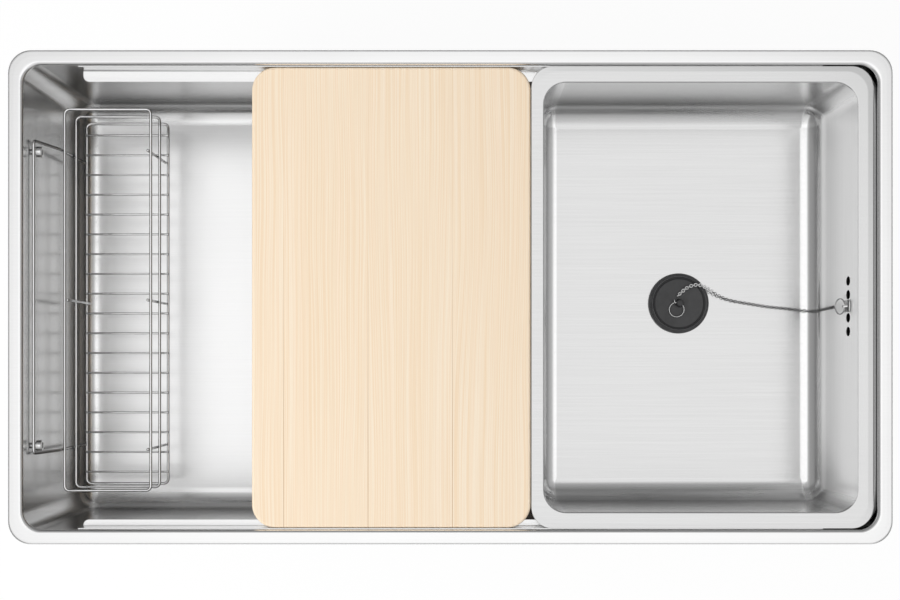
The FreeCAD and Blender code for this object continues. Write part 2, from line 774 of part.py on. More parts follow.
def make_rack_frames():
    """Three closed wire rectangles, one above another."""
    for label, level in (("rack_top_frame", 0), ("rack_middle_frame", 1), ("rack_bottom_frame", 2)):
        body = new_body(label)
        spine = sketch_on(body, label + "_line")
        corner = "rack_corner - rack_wire / 2"
        rounded_rectangle(spine, "rack_width - rack_wire", "rack_length - rack_wire", corner)
        wire = sketch_on(body, label + "_wire", "XZ_Plane")
        circle(wire, "rack_wire / 2", x="(rack_width - rack_wire) / 2")
        doc.recompute()
        sweep = body.newObject("PartDesign::AdditivePipe", label + "_sweep")
        sweep.Profile = wire
        sweep.Spine = (spine, [f"Edge{number + 1}" for number in range(8)])
        doc.recompute()
        place(body, x="rack_centre", y="rack_offset", z=f"rack_top - {level} * rack_pitch")


def make_rack_slats():
    """The cross wires of the bottom, which lie on the bottom frame."""
    slats = []
    for number in range(int(size("slat_count"))):
        slat = cylinder("Slat", "slat_wire / 2", "rack_width", ALONG_X)
        place(
            slat,
            x="rack_centre - rack_width / 2",
            y=f"rack_offset + ({number} - (slat_count - 1) / 2) * slat_pitch",
            z="rack_bottom + rack_wire / 2 + slat_wire / 2 + weld_gap",
        )
        slats.append(slat)
    group("rack_slats", slats)


def make_rack_uprights():
    """The standing wires on the inside of the frames: three on the free side and one on the wall side."""
    uprights = []
    spots = [("rack_right - rack_wire - weld_gap", f"{side} * upright_offset") for side in (-1, 0, 1)]
    spots.append(("rack_left + rack_wire + weld_gap", "0"))
    for x, y in spots:
        upright = cylinder("Upright", "rack_wire / 2", "rack_top - rack_bottom + rack_wire")
        place(upright, x=x, y=f"rack_offset + {y}", z="rack_bottom - rack_wire / 2")
        uprights.append(upright)
    group("rack_uprights", uprights)


def make_rack_hanger():
    """One bent wire: an arm up the wall side of the frames, the bar on the studs, and the other arm."""
    side, wall = size("rack_left - rack_wire - weld_gap"), size("bar_place")
    middle, reach = size("rack_offset"), size("upright_offset")
    arm = [
        (side, size("rack_bottom - rack_wire / 2")),
        (side, size("rack_top + arm_straight")),
        (wall, size("bar_height")),
    ]
    points = [V(x, middle + reach, z) for x, z in arm] + [V(x, middle - reach, z) for x, z in reversed(arm)]
    round_tube("rack_hanger", points, size("rack_wire"), size("arm_bend"))


def make_hanger_studs():
    """Two turned studs through the left wall, each with a washer and a nut behind it."""
    studs, washers, nuts = [], [], []
    for side in (-1, 1):
        stud = doc.addObject("PartDesign::Body", "Stud")
        tail, neck, head = "0 - sheet - stud_thread_length", "neck_length", "neck_length + head_length"
        revolve(
            stud,
            "StudOutline",
            [
                ("0", tail),
                ("stud_thread_radius", tail),
                ("stud_thread_radius", "0"),
                ("neck_radius", "0"),
                ("neck_radius", neck),
                ("head_radius", neck),
                ("head_radius", f"{head} - head_chamfer"),
                ("head_radius - head_chamfer", head),
                ("0", head),
            ],
        )
        washer = doc.addObject("PartDesign::Body", "StudWasher")
        ring = circle(sketch_on(washer, "WasherRing"), "washer_radius")
        circle(ring, "stud_thread_radius + stud_hole_gap")
        pad(washer, ring, "washer_thick")
        nut = hexagon_nut("StudNut", "nut_width", "stud_thread_radius + stud_hole_gap", "nut_thick")
        levels = ((stud, "0"), (washer, "sheet"), (nut, "sheet + washer_thick"))
        for thing, behind in levels:
            thing.Placement.Rotation = ALONG_X
            place(thing, x=f"0 - mouth_length / 2 - ({behind})", y=f"{side} * stud_offset", z="stud_height")
        studs.append(stud)
        washers.append(washer)
        nuts.append(nut)
    group("hanger_studs", studs)
    group("stud_washers", washers)
    group("stud_nuts", nuts)


def hexagon_nut(name, width, bore, height):
    """A hexagon nut about Z that reaches down from z = 0."""
    body = doc.addObject("PartDesign::Body", name)
    half = f"({width}) / 2"
    corners = [(f"{half} / cos(30) * cos({60 * i})", f"{half} / cos(30) * sin({60 * i})") for i in range(6)]
    pad(body, polygon(sketch_on(body, name + "Hexagon"), corners), height)
    pocket(body, circle(sketch_on(body, name + "Bore"), bore), height)
    return body


def make_worktop_fixings():
    """Brackets on the outside of the bowl, each with a screw that presses a foot up against the worktop."""
    long_spots = [
        (f"({i} / (clip_count_long - 1) - 0.5) * clip_span_long", side)
        for side in (0, 180)
        for i in range(int(size("clip_count_long")))
    ]
    short_spots = [(f"{sign} * clip_offset_short / 2", side) for side in (90, 270) for sign in (-1, 1)]
    brackets, screws, feet = [], [], []
    for along, side in long_spots + short_spots:
        face = "outer_face" if side in (0, 180) else "end_face"
        turn = FreeCAD.Rotation(V(0, 0, 1), side)
        bracket = doc.addObject("PartDesign::Body", "Bracket")
        fold = sketch_on(bracket, "BracketFold", "YZ_Plane", "0 - bracket_width / 2")
        polygon(
            fold,
            [
                ("0", "0"),
                ("bracket_reach", "0"),
                ("bracket_reach", "0 - bracket_sheet"),
                ("bracket_sheet", "0 - bracket_sheet"),
                ("bracket_sheet", "0 - bracket_leg"),
                ("0", "0 - bracket_leg"),
            ],
        )
        pad(bracket, fold, "bracket_width", down=False)
        hole = sketch_on(bracket, "BracketHole")
        pocket(bracket, circle(hole, "screw_radius + screw_hole_gap", y="bracket_hole_reach"), "bracket_sheet")
        tip = "bracket_drop - foot_height + foot_socket"
        under = "0 - bracket_sheet - screw_tail"
        screw = turned_body(
            "Screw",
            [
                ("0", tip),
                ("screw_radius", tip),
                ("screw_radius", under),
                ("screw_head_radius", under),
                ("screw_head_radius", f"{under} - screw_head_height"),
                ("0", f"{under} - screw_head_height"),
            ],
        )
        foot = turned_body(
            "Foot",
            [
                ("0", "bracket_drop"),
                ("foot_radius", "bracket_drop"),
                ("foot_radius", "bracket_drop - foot_height / 2"),
                ("foot_radius / 2", "bracket_drop - foot_height"),
                ("screw_radius + screw_hole_gap", "bracket_drop - foot_height"),
                ("screw_radius + screw_hole_gap", tip),
                ("0", tip),
            ],
        )
        for thing, out in ((bracket, "0"), (screw, "bracket_hole_reach"), (foot, "bracket_hole_reach")):
            thing.Placement.Rotation = turn
            cos, sin = {0: (1, 0), 90: (0, 1), 180: (-1, 0), 270: (0, -1)}[side]
            x = f"{cos} * ({along}) - {sin} * ({face} + {out})"
            y = f"{sin} * ({along}) + {cos} * ({face} + {out})"
            place(thing, x=x, y=y, z="bracket_top")
        brackets.append(bracket)
        screws.append(screw)
        feet.append(foot)
    group("clip_brackets", brackets)
    group("clip_screws", screws)
    group("clip_feet", feet)


def turned_body(name, points):
    """A turned form about Z that is one of a group."""
    body = doc.addObject("PartDesign::Body", name)
    revolve(body, name + "Outline", points)
    return body


def make_sound_pads():
    """Rubber sheets glued to the outside: two on each long wall and two under the floor."""
    pads = []
    for side in (-1, 1):
        for end in (-1, 1):
            sheet_body = doc.addObject("PartDesign::Body", "WallPad")
            outline = sketch_on(sheet_body, "WallPadOutline", "XZ_Plane", "0 - pad_thick / 2")
            rounded_rectangle(outline, "wall_pad_length", "wall_pad_height", "pad_corner")
            pad(sheet_body, outline, "pad_thick", down=False)
            place(
                sheet_body,
                x=f"{end} * wall_pad_spread",
                y=f"{side} * (outer_face + pad_thick / 2)",
                z="pad_top - wall_pad_height / 2",
            )
            pads.append(sheet_body)
    edge = "drain_centre - seat_radius - sheet - floor_pad_gap"
    for number in (0, 1):
        sheet_body = doc.addObject("PartDesign::Body", "FloorPad")
        outline = sketch_on(sheet_body, "FloorPadOutline")
        share = "(floor_pad_length - floor_pad_gap) / 2"
        rounded_rectangle(outline, share, "floor_pad_width", "pad_corner")
        pad(sheet_body, outline, "pad_thick")
        place(sheet_body, x=f"{edge} - {share} / 2 - {number} * ({share} + floor_pad_gap)", z="floor_under")
        pads.append(sheet_body)
    group("sound_pads", pads)


def washer(label, inner, outer, top, thick):
    """A flat ring about the drain's axis, given by the height of its top."""
    under = f"{top} - {thick}"
    return turned(label, [(inner, top), (inner, under), (outer, under), (outer, top)], x="drain_centre")


def make_drain():
    """The basket strainer: a flanged cup through the floor, clamped from below by a lock nut."""
    turned(
        "drain_cup",
        [
            ("flange_radius", "seat_top"),
            ("flange_radius", "seat_top + flange_thick / 2"),
            ("flange_radius - flange_thick", "seat_top + flange_thick"),
            ("cup_inner + seat_cone_reach", "seat_top + flange_thick"),
            ("cup_inner", "seat_top - seat_cone_drop"),
            ("cup_inner", "cup_corner"),
            ("spigot_bore", "cup_floor + cup_wall"),
            ("spigot_bore", "spigot_end"),
            ("spigot_radius", "spigot_end"),
            ("spigot_radius", "cup_floor"),
            ("cup_radius", "cup_corner"),
            ("cup_radius", "seat_top"),
        ],
        x="drain_centre",
    )
    hole = "cup_radius + washer_gap"
    washer("drain_gasket", hole, "gasket_radius", "seat_under", "gasket_thick")
    washer("friction_washer", hole, "gasket_radius", "gasket_under", "friction_thick")
    nut = new_body("drain_lock_nut")
    ring = circle(sketch_on(nut, "NutRing"), "lock_nut_radius")
    circle(ring, "cup_radius + thread_gap")
    pad(nut, ring, "lock_nut_height")
    lug = sketch_on(nut, "NutLug")
    inner, outer = "lock_nut_radius - lock_nut_lug / 2", "lock_nut_radius + lock_nut_lug"
    half = "lock_nut_lug_width / 2"
    polygon(lug, [(inner, f"0 - {half}"), (outer, f"0 - {half}"), (outer, half), (inner, half)])
    first = pad(nut, lug, "lock_nut_height")
    lugs = nut.newObject("PartDesign::PolarPattern", "NutLugs")
    lugs.Originals = [first]
    lugs.Axis = (lug, ["N_Axis"])
    lugs.Angle = 360
    bind(lugs, Occurrences="lock_nut_lugs")
    nut.Tip = lugs
    doc.recompute()
    place(nut, x="drain_centre", z="friction_under")


def make_strainer_basket():
    """The lift-out basket, its rubber seal and its knob."""
    basket = turned(
        "strainer_basket",
        [
            ("cup_inner + basket_lip", "basket_rest"),
            ("cup_inner + basket_lip", "basket_rest + basket_sheet"),
            ("basket_side - basket_sheet", "basket_rest + basket_sheet"),
            ("basket_side - basket_taper - basket_sheet", "basket_floor + basket_sheet"),
            ("0", "basket_floor + basket_sheet"),
            ("0", "basket_floor"),
            ("basket_side - basket_taper", "basket_floor"),
            ("basket_side", "basket_rest"),
        ],
        x="drain_centre",
    )
    drilled = sketch_on(basket, "BasketHole", height="basket_floor + basket_sheet")
    circle(drilled, "basket_hole_radius", x="basket_hole_circle")
    first = pocket(basket, drilled, "basket_sheet")
    holes = basket.newObject("PartDesign::PolarPattern", "BasketHoles")
    holes.Originals = [first]
    holes.Axis = (drilled, ["N_Axis"])
    holes.Angle = 360
    bind(holes, Occurrences="basket_holes")
    basket.Tip = holes
    doc.recompute()
    washer("basket_seal", "knob_post_radius", "basket_seal_radius", "basket_floor", "basket_seal_thick")
    top = "knob_post_height + knob_height"
    turned(
        "basket_knob",
        [
            ("0", "0"),
            ("knob_post_radius", "0"),
            ("knob_post_radius", "knob_post_height"),
            ("knob_radius", "knob_post_height + knob_height / 4"),
            ("knob_radius", "knob_post_height + knob_height * 3 / 4"),
            ("knob_radius * 3 / 4", top),
            ("0", top),
        ],
        x="drain_centre",
        z="basket_floor + basket_sheet",
    )


def make_outlet():
    """The tailpiece, its washer and the slip nut that holds it to the spigot."""
    tube = "tail_radius - tail_wall"
    turned(
        "tailpiece",
        [
            (tube, "tail_top"),
            ("spigot_radius", "tail_top"),
            ("spigot_radius", "tail_top - tail_flange"),
            ("tail_radius", "tail_top - tail_flange"),
            ("tail_radius", "tail_top - tail_length"),
            (tube, "tail_top - tail_length"),
        ],
        x="drain_centre",
    )
    washer("tailpiece_washer", "spigot_bore", "spigot_radius", "spigot_end", "tail_washer")
    bore = "tail_radius + slip_nut_gap"
    nut = sub_part(hexagon_nut("slip_nut", "slip_nut_width", bore, "slip_nut_height"), "slip_nut")
    wide = circle(sketch_on(nut, "SlipNutBore"), "spigot_radius + thread_gap")
    pocket(nut, wide, "slip_nut_height - slip_nut_floor")
    place(nut, x="drain_centre", z="slip_nut_under + slip_nut_height")


def check_document():
    """Every object is built and every sub-part is a sound solid."""
    doc.recompute()
    failed = [thing.Name for thing in doc.Objects if "Invalid" in thing.State or "Error" in thing.State]
    broken = [thing.Label for thing in SUB_PARTS if thing.Shape.isNull() or not thing.Shape.isValid()]
    if failed or broken:
        raise RuntimeError(f"not built: {failed}, not sound: {broken}")


make_main_bowl()
make_rim_seal()
make_ledge_rails()
make_cutting_board()
make_sub_bowl()
make_stopper()
make_stopper_rings()
make_chain_eye()
make_chain()
make_rack_frames()
make_rack_slats()
make_rack_uprights()
make_rack_hanger()
make_hanger_studs()
make_worktop_fixings()
make_sound_pads()
make_drain()
make_strainer_basket()
make_outlet()
check_document()

os.makedirs("parts", exist_ok=True)
for piece in SUB_PARTS:
    piece.Shape.exportStep(f"parts/{piece.Label}.step")
print(f"{len(SUB_PARTS)} sub-parts written")
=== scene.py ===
# %% [markdown]
# # A workstation kitchen sink
#
# This lesson dresses a kitchen sink for a picture: a long pressed bowl with ledge rails, a softwood board, a
# sub-bowl with a rubber plug on a chain, and a wire rack. The model of its solids is ready. Here each
# visible piece gets a smooth surface and a finish. Sizes are in millimetres, as on a drawing, and they become
# metres when a mesh is made.

import bpy
import bmesh
import numpy as np
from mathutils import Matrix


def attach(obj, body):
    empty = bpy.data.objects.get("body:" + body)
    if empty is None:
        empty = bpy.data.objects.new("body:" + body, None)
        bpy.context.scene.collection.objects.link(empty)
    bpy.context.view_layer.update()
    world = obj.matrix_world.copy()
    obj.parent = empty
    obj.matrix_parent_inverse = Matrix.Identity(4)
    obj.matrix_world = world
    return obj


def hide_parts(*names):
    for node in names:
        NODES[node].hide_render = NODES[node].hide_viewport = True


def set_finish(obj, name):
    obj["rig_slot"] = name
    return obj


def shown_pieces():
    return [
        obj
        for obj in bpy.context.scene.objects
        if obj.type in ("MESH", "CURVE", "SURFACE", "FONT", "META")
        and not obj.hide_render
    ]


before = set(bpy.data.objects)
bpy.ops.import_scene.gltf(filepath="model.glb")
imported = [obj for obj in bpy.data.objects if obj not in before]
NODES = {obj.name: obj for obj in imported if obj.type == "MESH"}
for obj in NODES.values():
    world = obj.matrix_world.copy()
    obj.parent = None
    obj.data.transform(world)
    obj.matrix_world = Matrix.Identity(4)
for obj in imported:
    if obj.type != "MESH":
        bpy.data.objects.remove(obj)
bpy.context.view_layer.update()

MM = 0.001

# %% [markdown]
# ## The camera
#
# The picture was taken from straight above, with the lens a little in front of the sink's middle, so the back
# wall shows more than the front one. A camera that looks straight down keeps every upright edge pointing at
# one place. Its frame is shifted instead of tilted, because a tilt would make the rim's long sides lean.

# %% Camera
LENS, SENSOR = 50.38, 36.0
FRAME_SHIFT = (-0.006, 0.0715)
EYE = (0.005, -0.0667, 1.253)


def put(name, data):
    """A new object in the scene."""
    thing = bpy.data.objects.new(name, data)
    bpy.context.scene.collection.objects.link(thing)
    return thing


camera_data = bpy.data.cameras.new("camera")
camera_data.lens, camera_data.sensor_width = LENS, SENSOR
camera_data.shift_x, camera_data.shift_y = FRAME_SHIFT
camera = put("camera", camera_data)
camera.location = EYE
bpy.context.scene.camera = camera
print("the lens is", EYE[2], "m above the worktop")

# %% [markdown]
# ## From a grid of points to a mesh
#
# Almost every piece here is one sheet of points with rows and columns. Joining each point to its neighbours
# gives four-sided faces, and the last column joins the first where the sheet closes on itself. The same few
# lines make a bowl, a wire or a ring.

# %% Grid to mesh
def grid_faces(rows, columns, close_rows, close_columns):
    """The corners of each face: a point, the next in its row and the two above them. Closed ends join."""
    number = np.arange(rows * columns).reshape(rows, columns)
    if close_rows:
        number = np.vstack([number, number[:1]])
    if close_columns:
        number = np.hstack([number, number[:, :1]])
    corners = [number[:-1, :-1], number[:-1, 1:], number[1:, 1:], number[1:, :-1]]
    return np.stack(corners, axis=-1).reshape(-1, 4)


def mesh_piece(name, points, faces, crease=35.0):
    """An object from points in millimetres: doubles merged, faces outwards, sharp past the crease angle."""
    mesh = bpy.data.meshes.new(name)
    mesh.from_pydata((np.asarray(points).reshape(-1, 3) * MM).tolist(), [], np.asarray(faces).tolist())
    work = bmesh.new()
    work.from_mesh(mesh)
    bmesh.ops.remove_doubles(work, verts=work.verts, dist=1e-7)
    bmesh.ops.dissolve_degenerate(work, edges=work.edges, dist=1e-8)
    if work.calc_volume(signed=True) < 0:
        bmesh.ops.reverse_faces(work, faces=work.faces)
    work.to_mesh(mesh)
    work.free()
    mesh.shade_smooth()
    mesh.set_sharp_from_angle(angle=np.radians(crease))
    return put(name, mesh)


def grid_piece(name, points, close_rows=True, close_columns=True, crease=35.0):
    """An object from a grid of points, rows by columns by three."""
    rows, columns = points.shape[:2]
    return mesh_piece(name, points, grid_faces(rows, columns, close_rows, close_columns), crease)


def settle(piece, body, slot, *nodes):
    """Makes a piece ride on its body, take its finish from a slot and stand for solids."""
    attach(piece, body)
    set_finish(piece, slot)
    if nodes:
        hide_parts(*nodes)
    print(piece.name, "stands for", nodes or "detail", "with", len(piece.data.polygons), "faces")
    return piece

# %% [markdown]
# ## Wire and tube
#
# A wire is a circle carried along a path. At each point of the path the circle lies across the path's
# direction. It is laid out with two directions, both square to the path, that are worked out from one fixed
# direction which the path never runs along, so the tube can't twist. A cut end is domed, by a share of the
# wire's radius, because wire is deburred.

# %% Tube along a path
DOME = 0.6


def along_path(path, closed):
    """The unit direction at each point of a path: towards the next point from the one before."""
    if closed:
        step = np.roll(path, -1, axis=0) - np.roll(path, 1, axis=0)
    else:
        step = np.gradient(path, axis=0)
    return step / np.linalg.norm(step, axis=1, keepdims=True)


def tube(path, radius, fixed, sides=14, closed=False):
    """Points of a tube, path + radius * (cos(a) * side + sin(a) * up), with domed ends unless closed."""
    path = np.asarray(path, float)
    ahead = along_path(path, closed)
    radius = np.broadcast_to(np.asarray(radius, float), len(path))
    if not closed:
        lift = np.radians([90.0, 60.0, 30.0])
        first = path[0] - ahead[0] * radius[0] * DOME * np.sin(lift)[:, None]
        last = path[-1] + ahead[-1] * radius[-1] * DOME * np.sin(lift[::-1])[:, None]
        path = np.vstack([first, path, last])
        ahead = np.vstack([np.tile(ahead[0], (3, 1)), ahead, np.tile(ahead[-1], (3, 1))])
        radius = np.concatenate([radius[0] * np.cos(lift), radius, radius[-1] * np.cos(lift[::-1])])
    side = np.cross(ahead, fixed)
    side /= np.linalg.norm(side, axis=1, keepdims=True)
    up = np.cross(side, ahead)
    turn = np.linspace(0.0, 2 * np.pi, sides, endpoint=False)
    around = np.cos(turn)[None, :, None] * side[:, None] + np.sin(turn)[None, :, None] * up[:, None]
    return path[:, None] + radius[:, None, None] * around


def several(grids, close_rows):
    """Points and faces of several grids as one mesh."""
    points, faces, start = [], [], 0
    for grid in grids:
        points.append(grid.reshape(-1, 3))
        faces.append(grid_faces(*grid.shape[:2], close_rows, True) + start)
        start += points[-1].shape[0]
    return np.vstack(points), np.vstack(faces)

# %% [markdown]
# ## The chain
#
# A plug chain has a fixed length, a limp feel and one end on each side: it hangs from the ring on the wall,
# runs over the floor and climbs onto the plug. Its line is a smooth curve, with heights above the sub-bowl's
# floor. The part on the plug is lifted with the plug, so the chain is two cords that meet at the plug's edge.

# %% The chain's line
TRAY_FLOOR = -127.0
CHAIN_RUN = [
    (397.6, -7.3, 77.5), (397.4, -7.6, 60.0), (396.9, -8.2, 42.5), (396.0, -8.9, 26.0), (391.2, -9.2, 10.0),
    (379.5, -7.2, 2.6), (364.5, -5.4, 2.3), (348.0, -4.1, 2.4), (331.0, -1.2, 2.3), (315.0, 1.3, 2.4),
    (302.0, 3.9, 2.6), (290.5, 8.8, 5.4), (285.3, 12.16, 7.48),
]
CHAIN_DRAPE = [
    (285.3, 12.16, 7.48), (277.5, 17.2, 10.6), (268.4, 20.4, 11.0), (259.6, 18.4, 10.0), (252.0, 13.2, 9.6),
    (246.4, 7.3, 9.6),
]


def smooth_line(name, corners):
    """Points along the NURBS curve whose control points are the corners, in millimetres."""
    curve = bpy.data.curves.new(name, "CURVE")
    curve.dimensions = "3D"
    spline = curve.splines.new("NURBS")
    spline.points.add(len(corners) - 1)
    for point, (x, y, z) in zip(spline.points, corners):
        point.co = (x * MM, y * MM, (z + TRAY_FLOOR) * MM, 1.0)
    spline.order_u = 3
    spline.use_endpoint_u = True
    curve.resolution_u = 24
    holder = put(name, curve)
    bpy.context.view_layer.update()
    mesh = bpy.data.meshes.new_from_object(holder)
    flat = np.empty(len(mesh.vertices) * 3)
    mesh.vertices.foreach_get("co", flat)
    bpy.data.objects.remove(holder)
    bpy.data.curves.remove(curve)
    bpy.data.meshes.remove(mesh)
    return flat.reshape(-1, 3) / MM


def evenly(line, count):
    """Points at equal distances along a line, both ends kept, and the line's length."""
    reach = np.concatenate([[0.0], np.cumsum(np.linalg.norm(np.diff(line, axis=0), axis=1))])
    wanted = np.linspace(0.0, reach[-1], count)
    return np.stack([np.interp(wanted, reach, line[:, i]) for i in range(3)], axis=1), reach[-1]

# %% [markdown]
# Each link is an oval of round wire, turned a quarter round the chain from the one before it. Inside its wire
# it is one pitch long and a little play, so two links can move in each other, and a sine wave sways them a
# few degrees. All are worked out at once, as one array. The part on the plug has thicker wire, so it catches
# more light against the black.

# %% Links
LINK_PITCH, LINK_HALF_WIDTH, LINK_PLAY = 2.5, 1.55, 0.05
LINK_SWAY, SWAY_STEP = 0.16, 1.7
RUN_WIRE, DRAPE_WIRE, CHAIN_ACROSS = 0.33, 0.5, 4.0


def links(line, first_turn, wire):
    """Ovals of wire along a line, and its length.

    A point is the link's middle + (a + w * cos v) * cos u along the chain + (b + w * cos v) * sin u across it
    + w * sin v through it: a and b are half the oval's length and width, and w is the wire's radius.
    """
    length = evenly(line, 2)[1]
    count = int(round(length / LINK_PITCH))
    ends, _ = evenly(line, count + 1)
    middle = (ends[:-1] + ends[1:]) / 2
    along = np.diff(ends, axis=0)
    along /= np.linalg.norm(along, axis=1, keepdims=True)
    side = np.cross(along, (0.0, 1.0, 0.15))
    side /= np.linalg.norm(side, axis=1, keepdims=True)
    up = np.cross(side, along)
    odd = np.arange(count) % 2
    roll = np.radians(first_turn) + np.pi / 2 * odd + LINK_SWAY * np.sin(np.arange(count) * SWAY_STEP)
    half_length = (LINK_PITCH / 2 + wire + LINK_PLAY * (1 + odd))[:, None, None, None]
    across = np.cos(roll)[:, None] * side + np.sin(roll)[:, None] * up
    through = np.cross(along, across)
    u = np.linspace(0, 2 * np.pi, 14, endpoint=False)[None, :, None, None]
    v = np.linspace(0, 2 * np.pi, 6, endpoint=False)[None, None, :, None]
    inner = wire * np.cos(v)
    points = (
        middle[:, None, None] + (half_length + inner) * np.cos(u) * along[:, None, None]
        + (LINK_HALF_WIDTH + inner) * np.sin(u) * across[:, None, None]
        + wire * np.sin(v) * through[:, None, None]
    )
    return [points[i] for i in range(count)], length


for name, corners, body, turn, wire in (
    ("chain_run_links", CHAIN_RUN, "sub_bowl", 0.0, RUN_WIRE),
    ("chain_drape_links", CHAIN_DRAPE, "stopper", 90.0, DRAPE_WIRE),
):
    line = smooth_line(name, corners)
    grids, length = links(line, turn, wire)
    chain = mesh_piece(name, *several(grids, True), crease=80.0)
    settle(chain, body, "plated_steel", name.replace("_links", ""))
    print(name, len(grids), "links on", round(float(length), 1), "mm")

# %% [markdown]
# ## Rounded corners in a drawing
#
# A section of pressed sheet is a few straight runs with an arc at each bend. The arc touches both runs, and a
# point just beside each end of it keeps the flats flat when the light is smoothed over the faces.

# %% Section with rounds
def soft_path(corners, rounds, steps=8, beside=0.5):
    """Straight runs through the corners, with arcs that start radius * tan(turn / 2) from each corner."""
    corners = np.asarray(corners, float)
    pieces = [corners[:1]]
    for before, corner, after, radius in zip(corners, corners[1:], corners[2:], rounds):
        back, on = (before - corner), (after - corner)
        back, on = back / np.linalg.norm(back), on / np.linalg.norm(on)
        turn = np.pi - np.arccos(np.clip(back @ on, -1, 1))
        reach = radius * np.tan(turn / 2)
        middle = (back + on) / np.linalg.norm(back + on)
        centre = corner + middle * radius / np.cos(turn / 2)
        first, last = corner + back * reach - centre, corner + on * reach - centre
        share = np.linspace(0, 1, steps + 1)[:, None]
        arc = centre + (np.sin((1 - share) * turn) * first + np.sin(share * turn) * last) / np.sin(turn)
        pieces += [(centre + first + back * beside)[None], arc, (centre + last + on * beside)[None]]
    pieces.append(corners[-1:])
    return np.vstack(pieces)


def rounded_rings(half_l, half_w, corner, height, centre_x=0.0, arc=12, side=24):
    """Rounded rectangles, one per row: quarter circles about a smaller rectangle's corners, and sides."""
    rows = np.broadcast_arrays(half_l, half_w, corner, height, centre_x)
    half_l, half_w, corner, height, centre_x = (np.atleast_1d(np.asarray(row, float)) for row in rows)
    quarter = np.arange(4)[:, None] * np.pi / 2 + np.linspace(0, np.pi / 2, arc)
    at_x = np.array([1, -1, -1, 1]) * (half_l - corner)[:, None]
    at_y = np.array([1, 1, -1, -1]) * (half_w - corner)[:, None]
    arc_x = at_x[..., None] + corner[:, None, None] * np.cos(quarter)
    arc_y = at_y[..., None] + corner[:, None, None] * np.sin(quarter)
    share = np.arange(1, side) / side
    ring = []
    for way in (arc_x, arc_y):
        start, stop = way[..., -1:], np.roll(way, -1, axis=1)[..., :1]
        sides = start + (stop - start) * share
        ring.append(np.concatenate([way, sides], axis=2).reshape(len(height), -1))
    level = np.broadcast_to(height[:, None], ring[0].shape)
    return np.stack([ring[0] + centre_x[:, None], ring[1], level], axis=-1)


def to_circle(ring, radius, centre, heights, shares):
    """Rings from an outline to a circle: each point moves straight to the circle's point in its direction."""
    away = ring[:, :2] - centre
    away /= np.linalg.norm(away, axis=1, keepdims=True)
    round_ring = np.column_stack([centre + away * radius, np.zeros(len(ring))])
    shares, heights = np.asarray(shares)[:, None, None], np.broadcast_to(heights, len(shares))
    rings = ring * (1 - shares) + round_ring * shares
    rings[..., 2] = heights[:, None]
    return rings


def circles_like(ring, centre, section):
    """Circles about a centre, one for each (radius, height), with points in the ring's directions."""
    away = ring[:, :2] - centre
    away /= np.linalg.norm(away, axis=1, keepdims=True)
    spot = centre + away * section[:, 0][:, None, None]
    level = np.broadcast_to(section[:, 1][:, None, None], spot.shape[:2] + (1,))
    return np.concatenate([spot, level], axis=2)

# %% [markdown]
# ## The main bowl
#
# The bowl is pressed from one steel sheet 1.2 mm thick. Its section is carried round a rounded rectangle: up
# and over the rim, down the wall and into the floor. Outward of the mouth the corners grow a little slower
# than the rim does, as on the real sink. The floor passes from the rounded rectangle to the round seat of the
# drain. The same section, moved out by the sheet's thickness, makes the underside, and the two close into one
# skin.

# %% Main bowl
MOUTH_L, MOUTH_W, MOUTH_CORNER = 425.0, 231.0, 19.0
RIM_REACH, RIM_TOP, RIM_UNDER, CORNER_GROWTH = 15.0, 3.0, 0.2, 4.0
BOWL_FLOOR, BOWL_SHEET = -202.0, 1.2
MOUTH_ROUND, FLOOR_ROUND = 3.6, 22.0
DRAIN, SEAT_R, DRAIN_R, SEAT_DEPTH = np.array([249.0, 0.0]), 60.0, 45.0, 3.0
TO_SEAT = [0.01, 0.03, 0.1, 0.25, 0.45, 0.7, 0.9, 0.97, 0.99]


def bowl_rings(section):
    """The mouth's rounded rectangle, moved outward by each point's first number and lifted to its second."""
    out, height = section[:, 0], section[:, 1]
    outward = MOUTH_CORNER + out * CORNER_GROWTH / RIM_REACH
    corner = np.where(out > 0, outward, np.maximum(MOUTH_CORNER + out, 1.0))
    return rounded_rings(MOUTH_L + out, MOUTH_W + out, corner, height)


def bowl_skin(wall, floor, seat):
    """One side of the bowl: the wall's rings, the floor's way to the seat, and the seat's circles."""
    rings = bowl_rings(wall)
    flat = to_circle(rings[-1], seat[0, 0], DRAIN, floor, TO_SEAT)
    return np.concatenate([rings, flat, circles_like(rings[-1], DRAIN, seat)])


def seat_section(start, radius, floor):
    """The step down to the drain's seat, from a start on the floor to the hole's edge."""
    low = floor - SEAT_DEPTH
    return soft_path([(start, floor), (radius, floor), (radius, low), (DRAIN_R, low)], [1.0, 1.6], 4, 0.2)


wall_inside = soft_path(
    [(RIM_REACH, RIM_UNDER), (RIM_REACH - 0.05, RIM_TOP - 0.14), (8.5, RIM_TOP - 0.02), (0, RIM_TOP),
     (0, BOWL_FLOOR), (-FLOOR_ROUND - 1, BOWL_FLOOR)],
    [2.4, 40, MOUTH_ROUND, FLOOR_ROUND], 12,
)
edge, under, below = RIM_REACH - BOWL_SHEET, RIM_TOP - BOWL_SHEET, BOWL_FLOOR - BOWL_SHEET
wall_outside = soft_path(
    [(edge, RIM_UNDER), (edge, under), (BOWL_SHEET, under), (BOWL_SHEET, below), (-FLOOR_ROUND - 1, below)],
    [1.2, 2.4, FLOOR_ROUND + BOWL_SHEET], 10,
)
inside = bowl_skin(wall_inside, BOWL_FLOOR, seat_section(SEAT_R + 3, SEAT_R, BOWL_FLOOR))
outside = bowl_skin(wall_outside, below, seat_section(SEAT_R + 4, SEAT_R + BOWL_SHEET, below))
bowl = grid_piece("bowl", np.concatenate([inside, outside[::-1]]))
settle(bowl, "sink", "bowl_steel", "main_bowl")

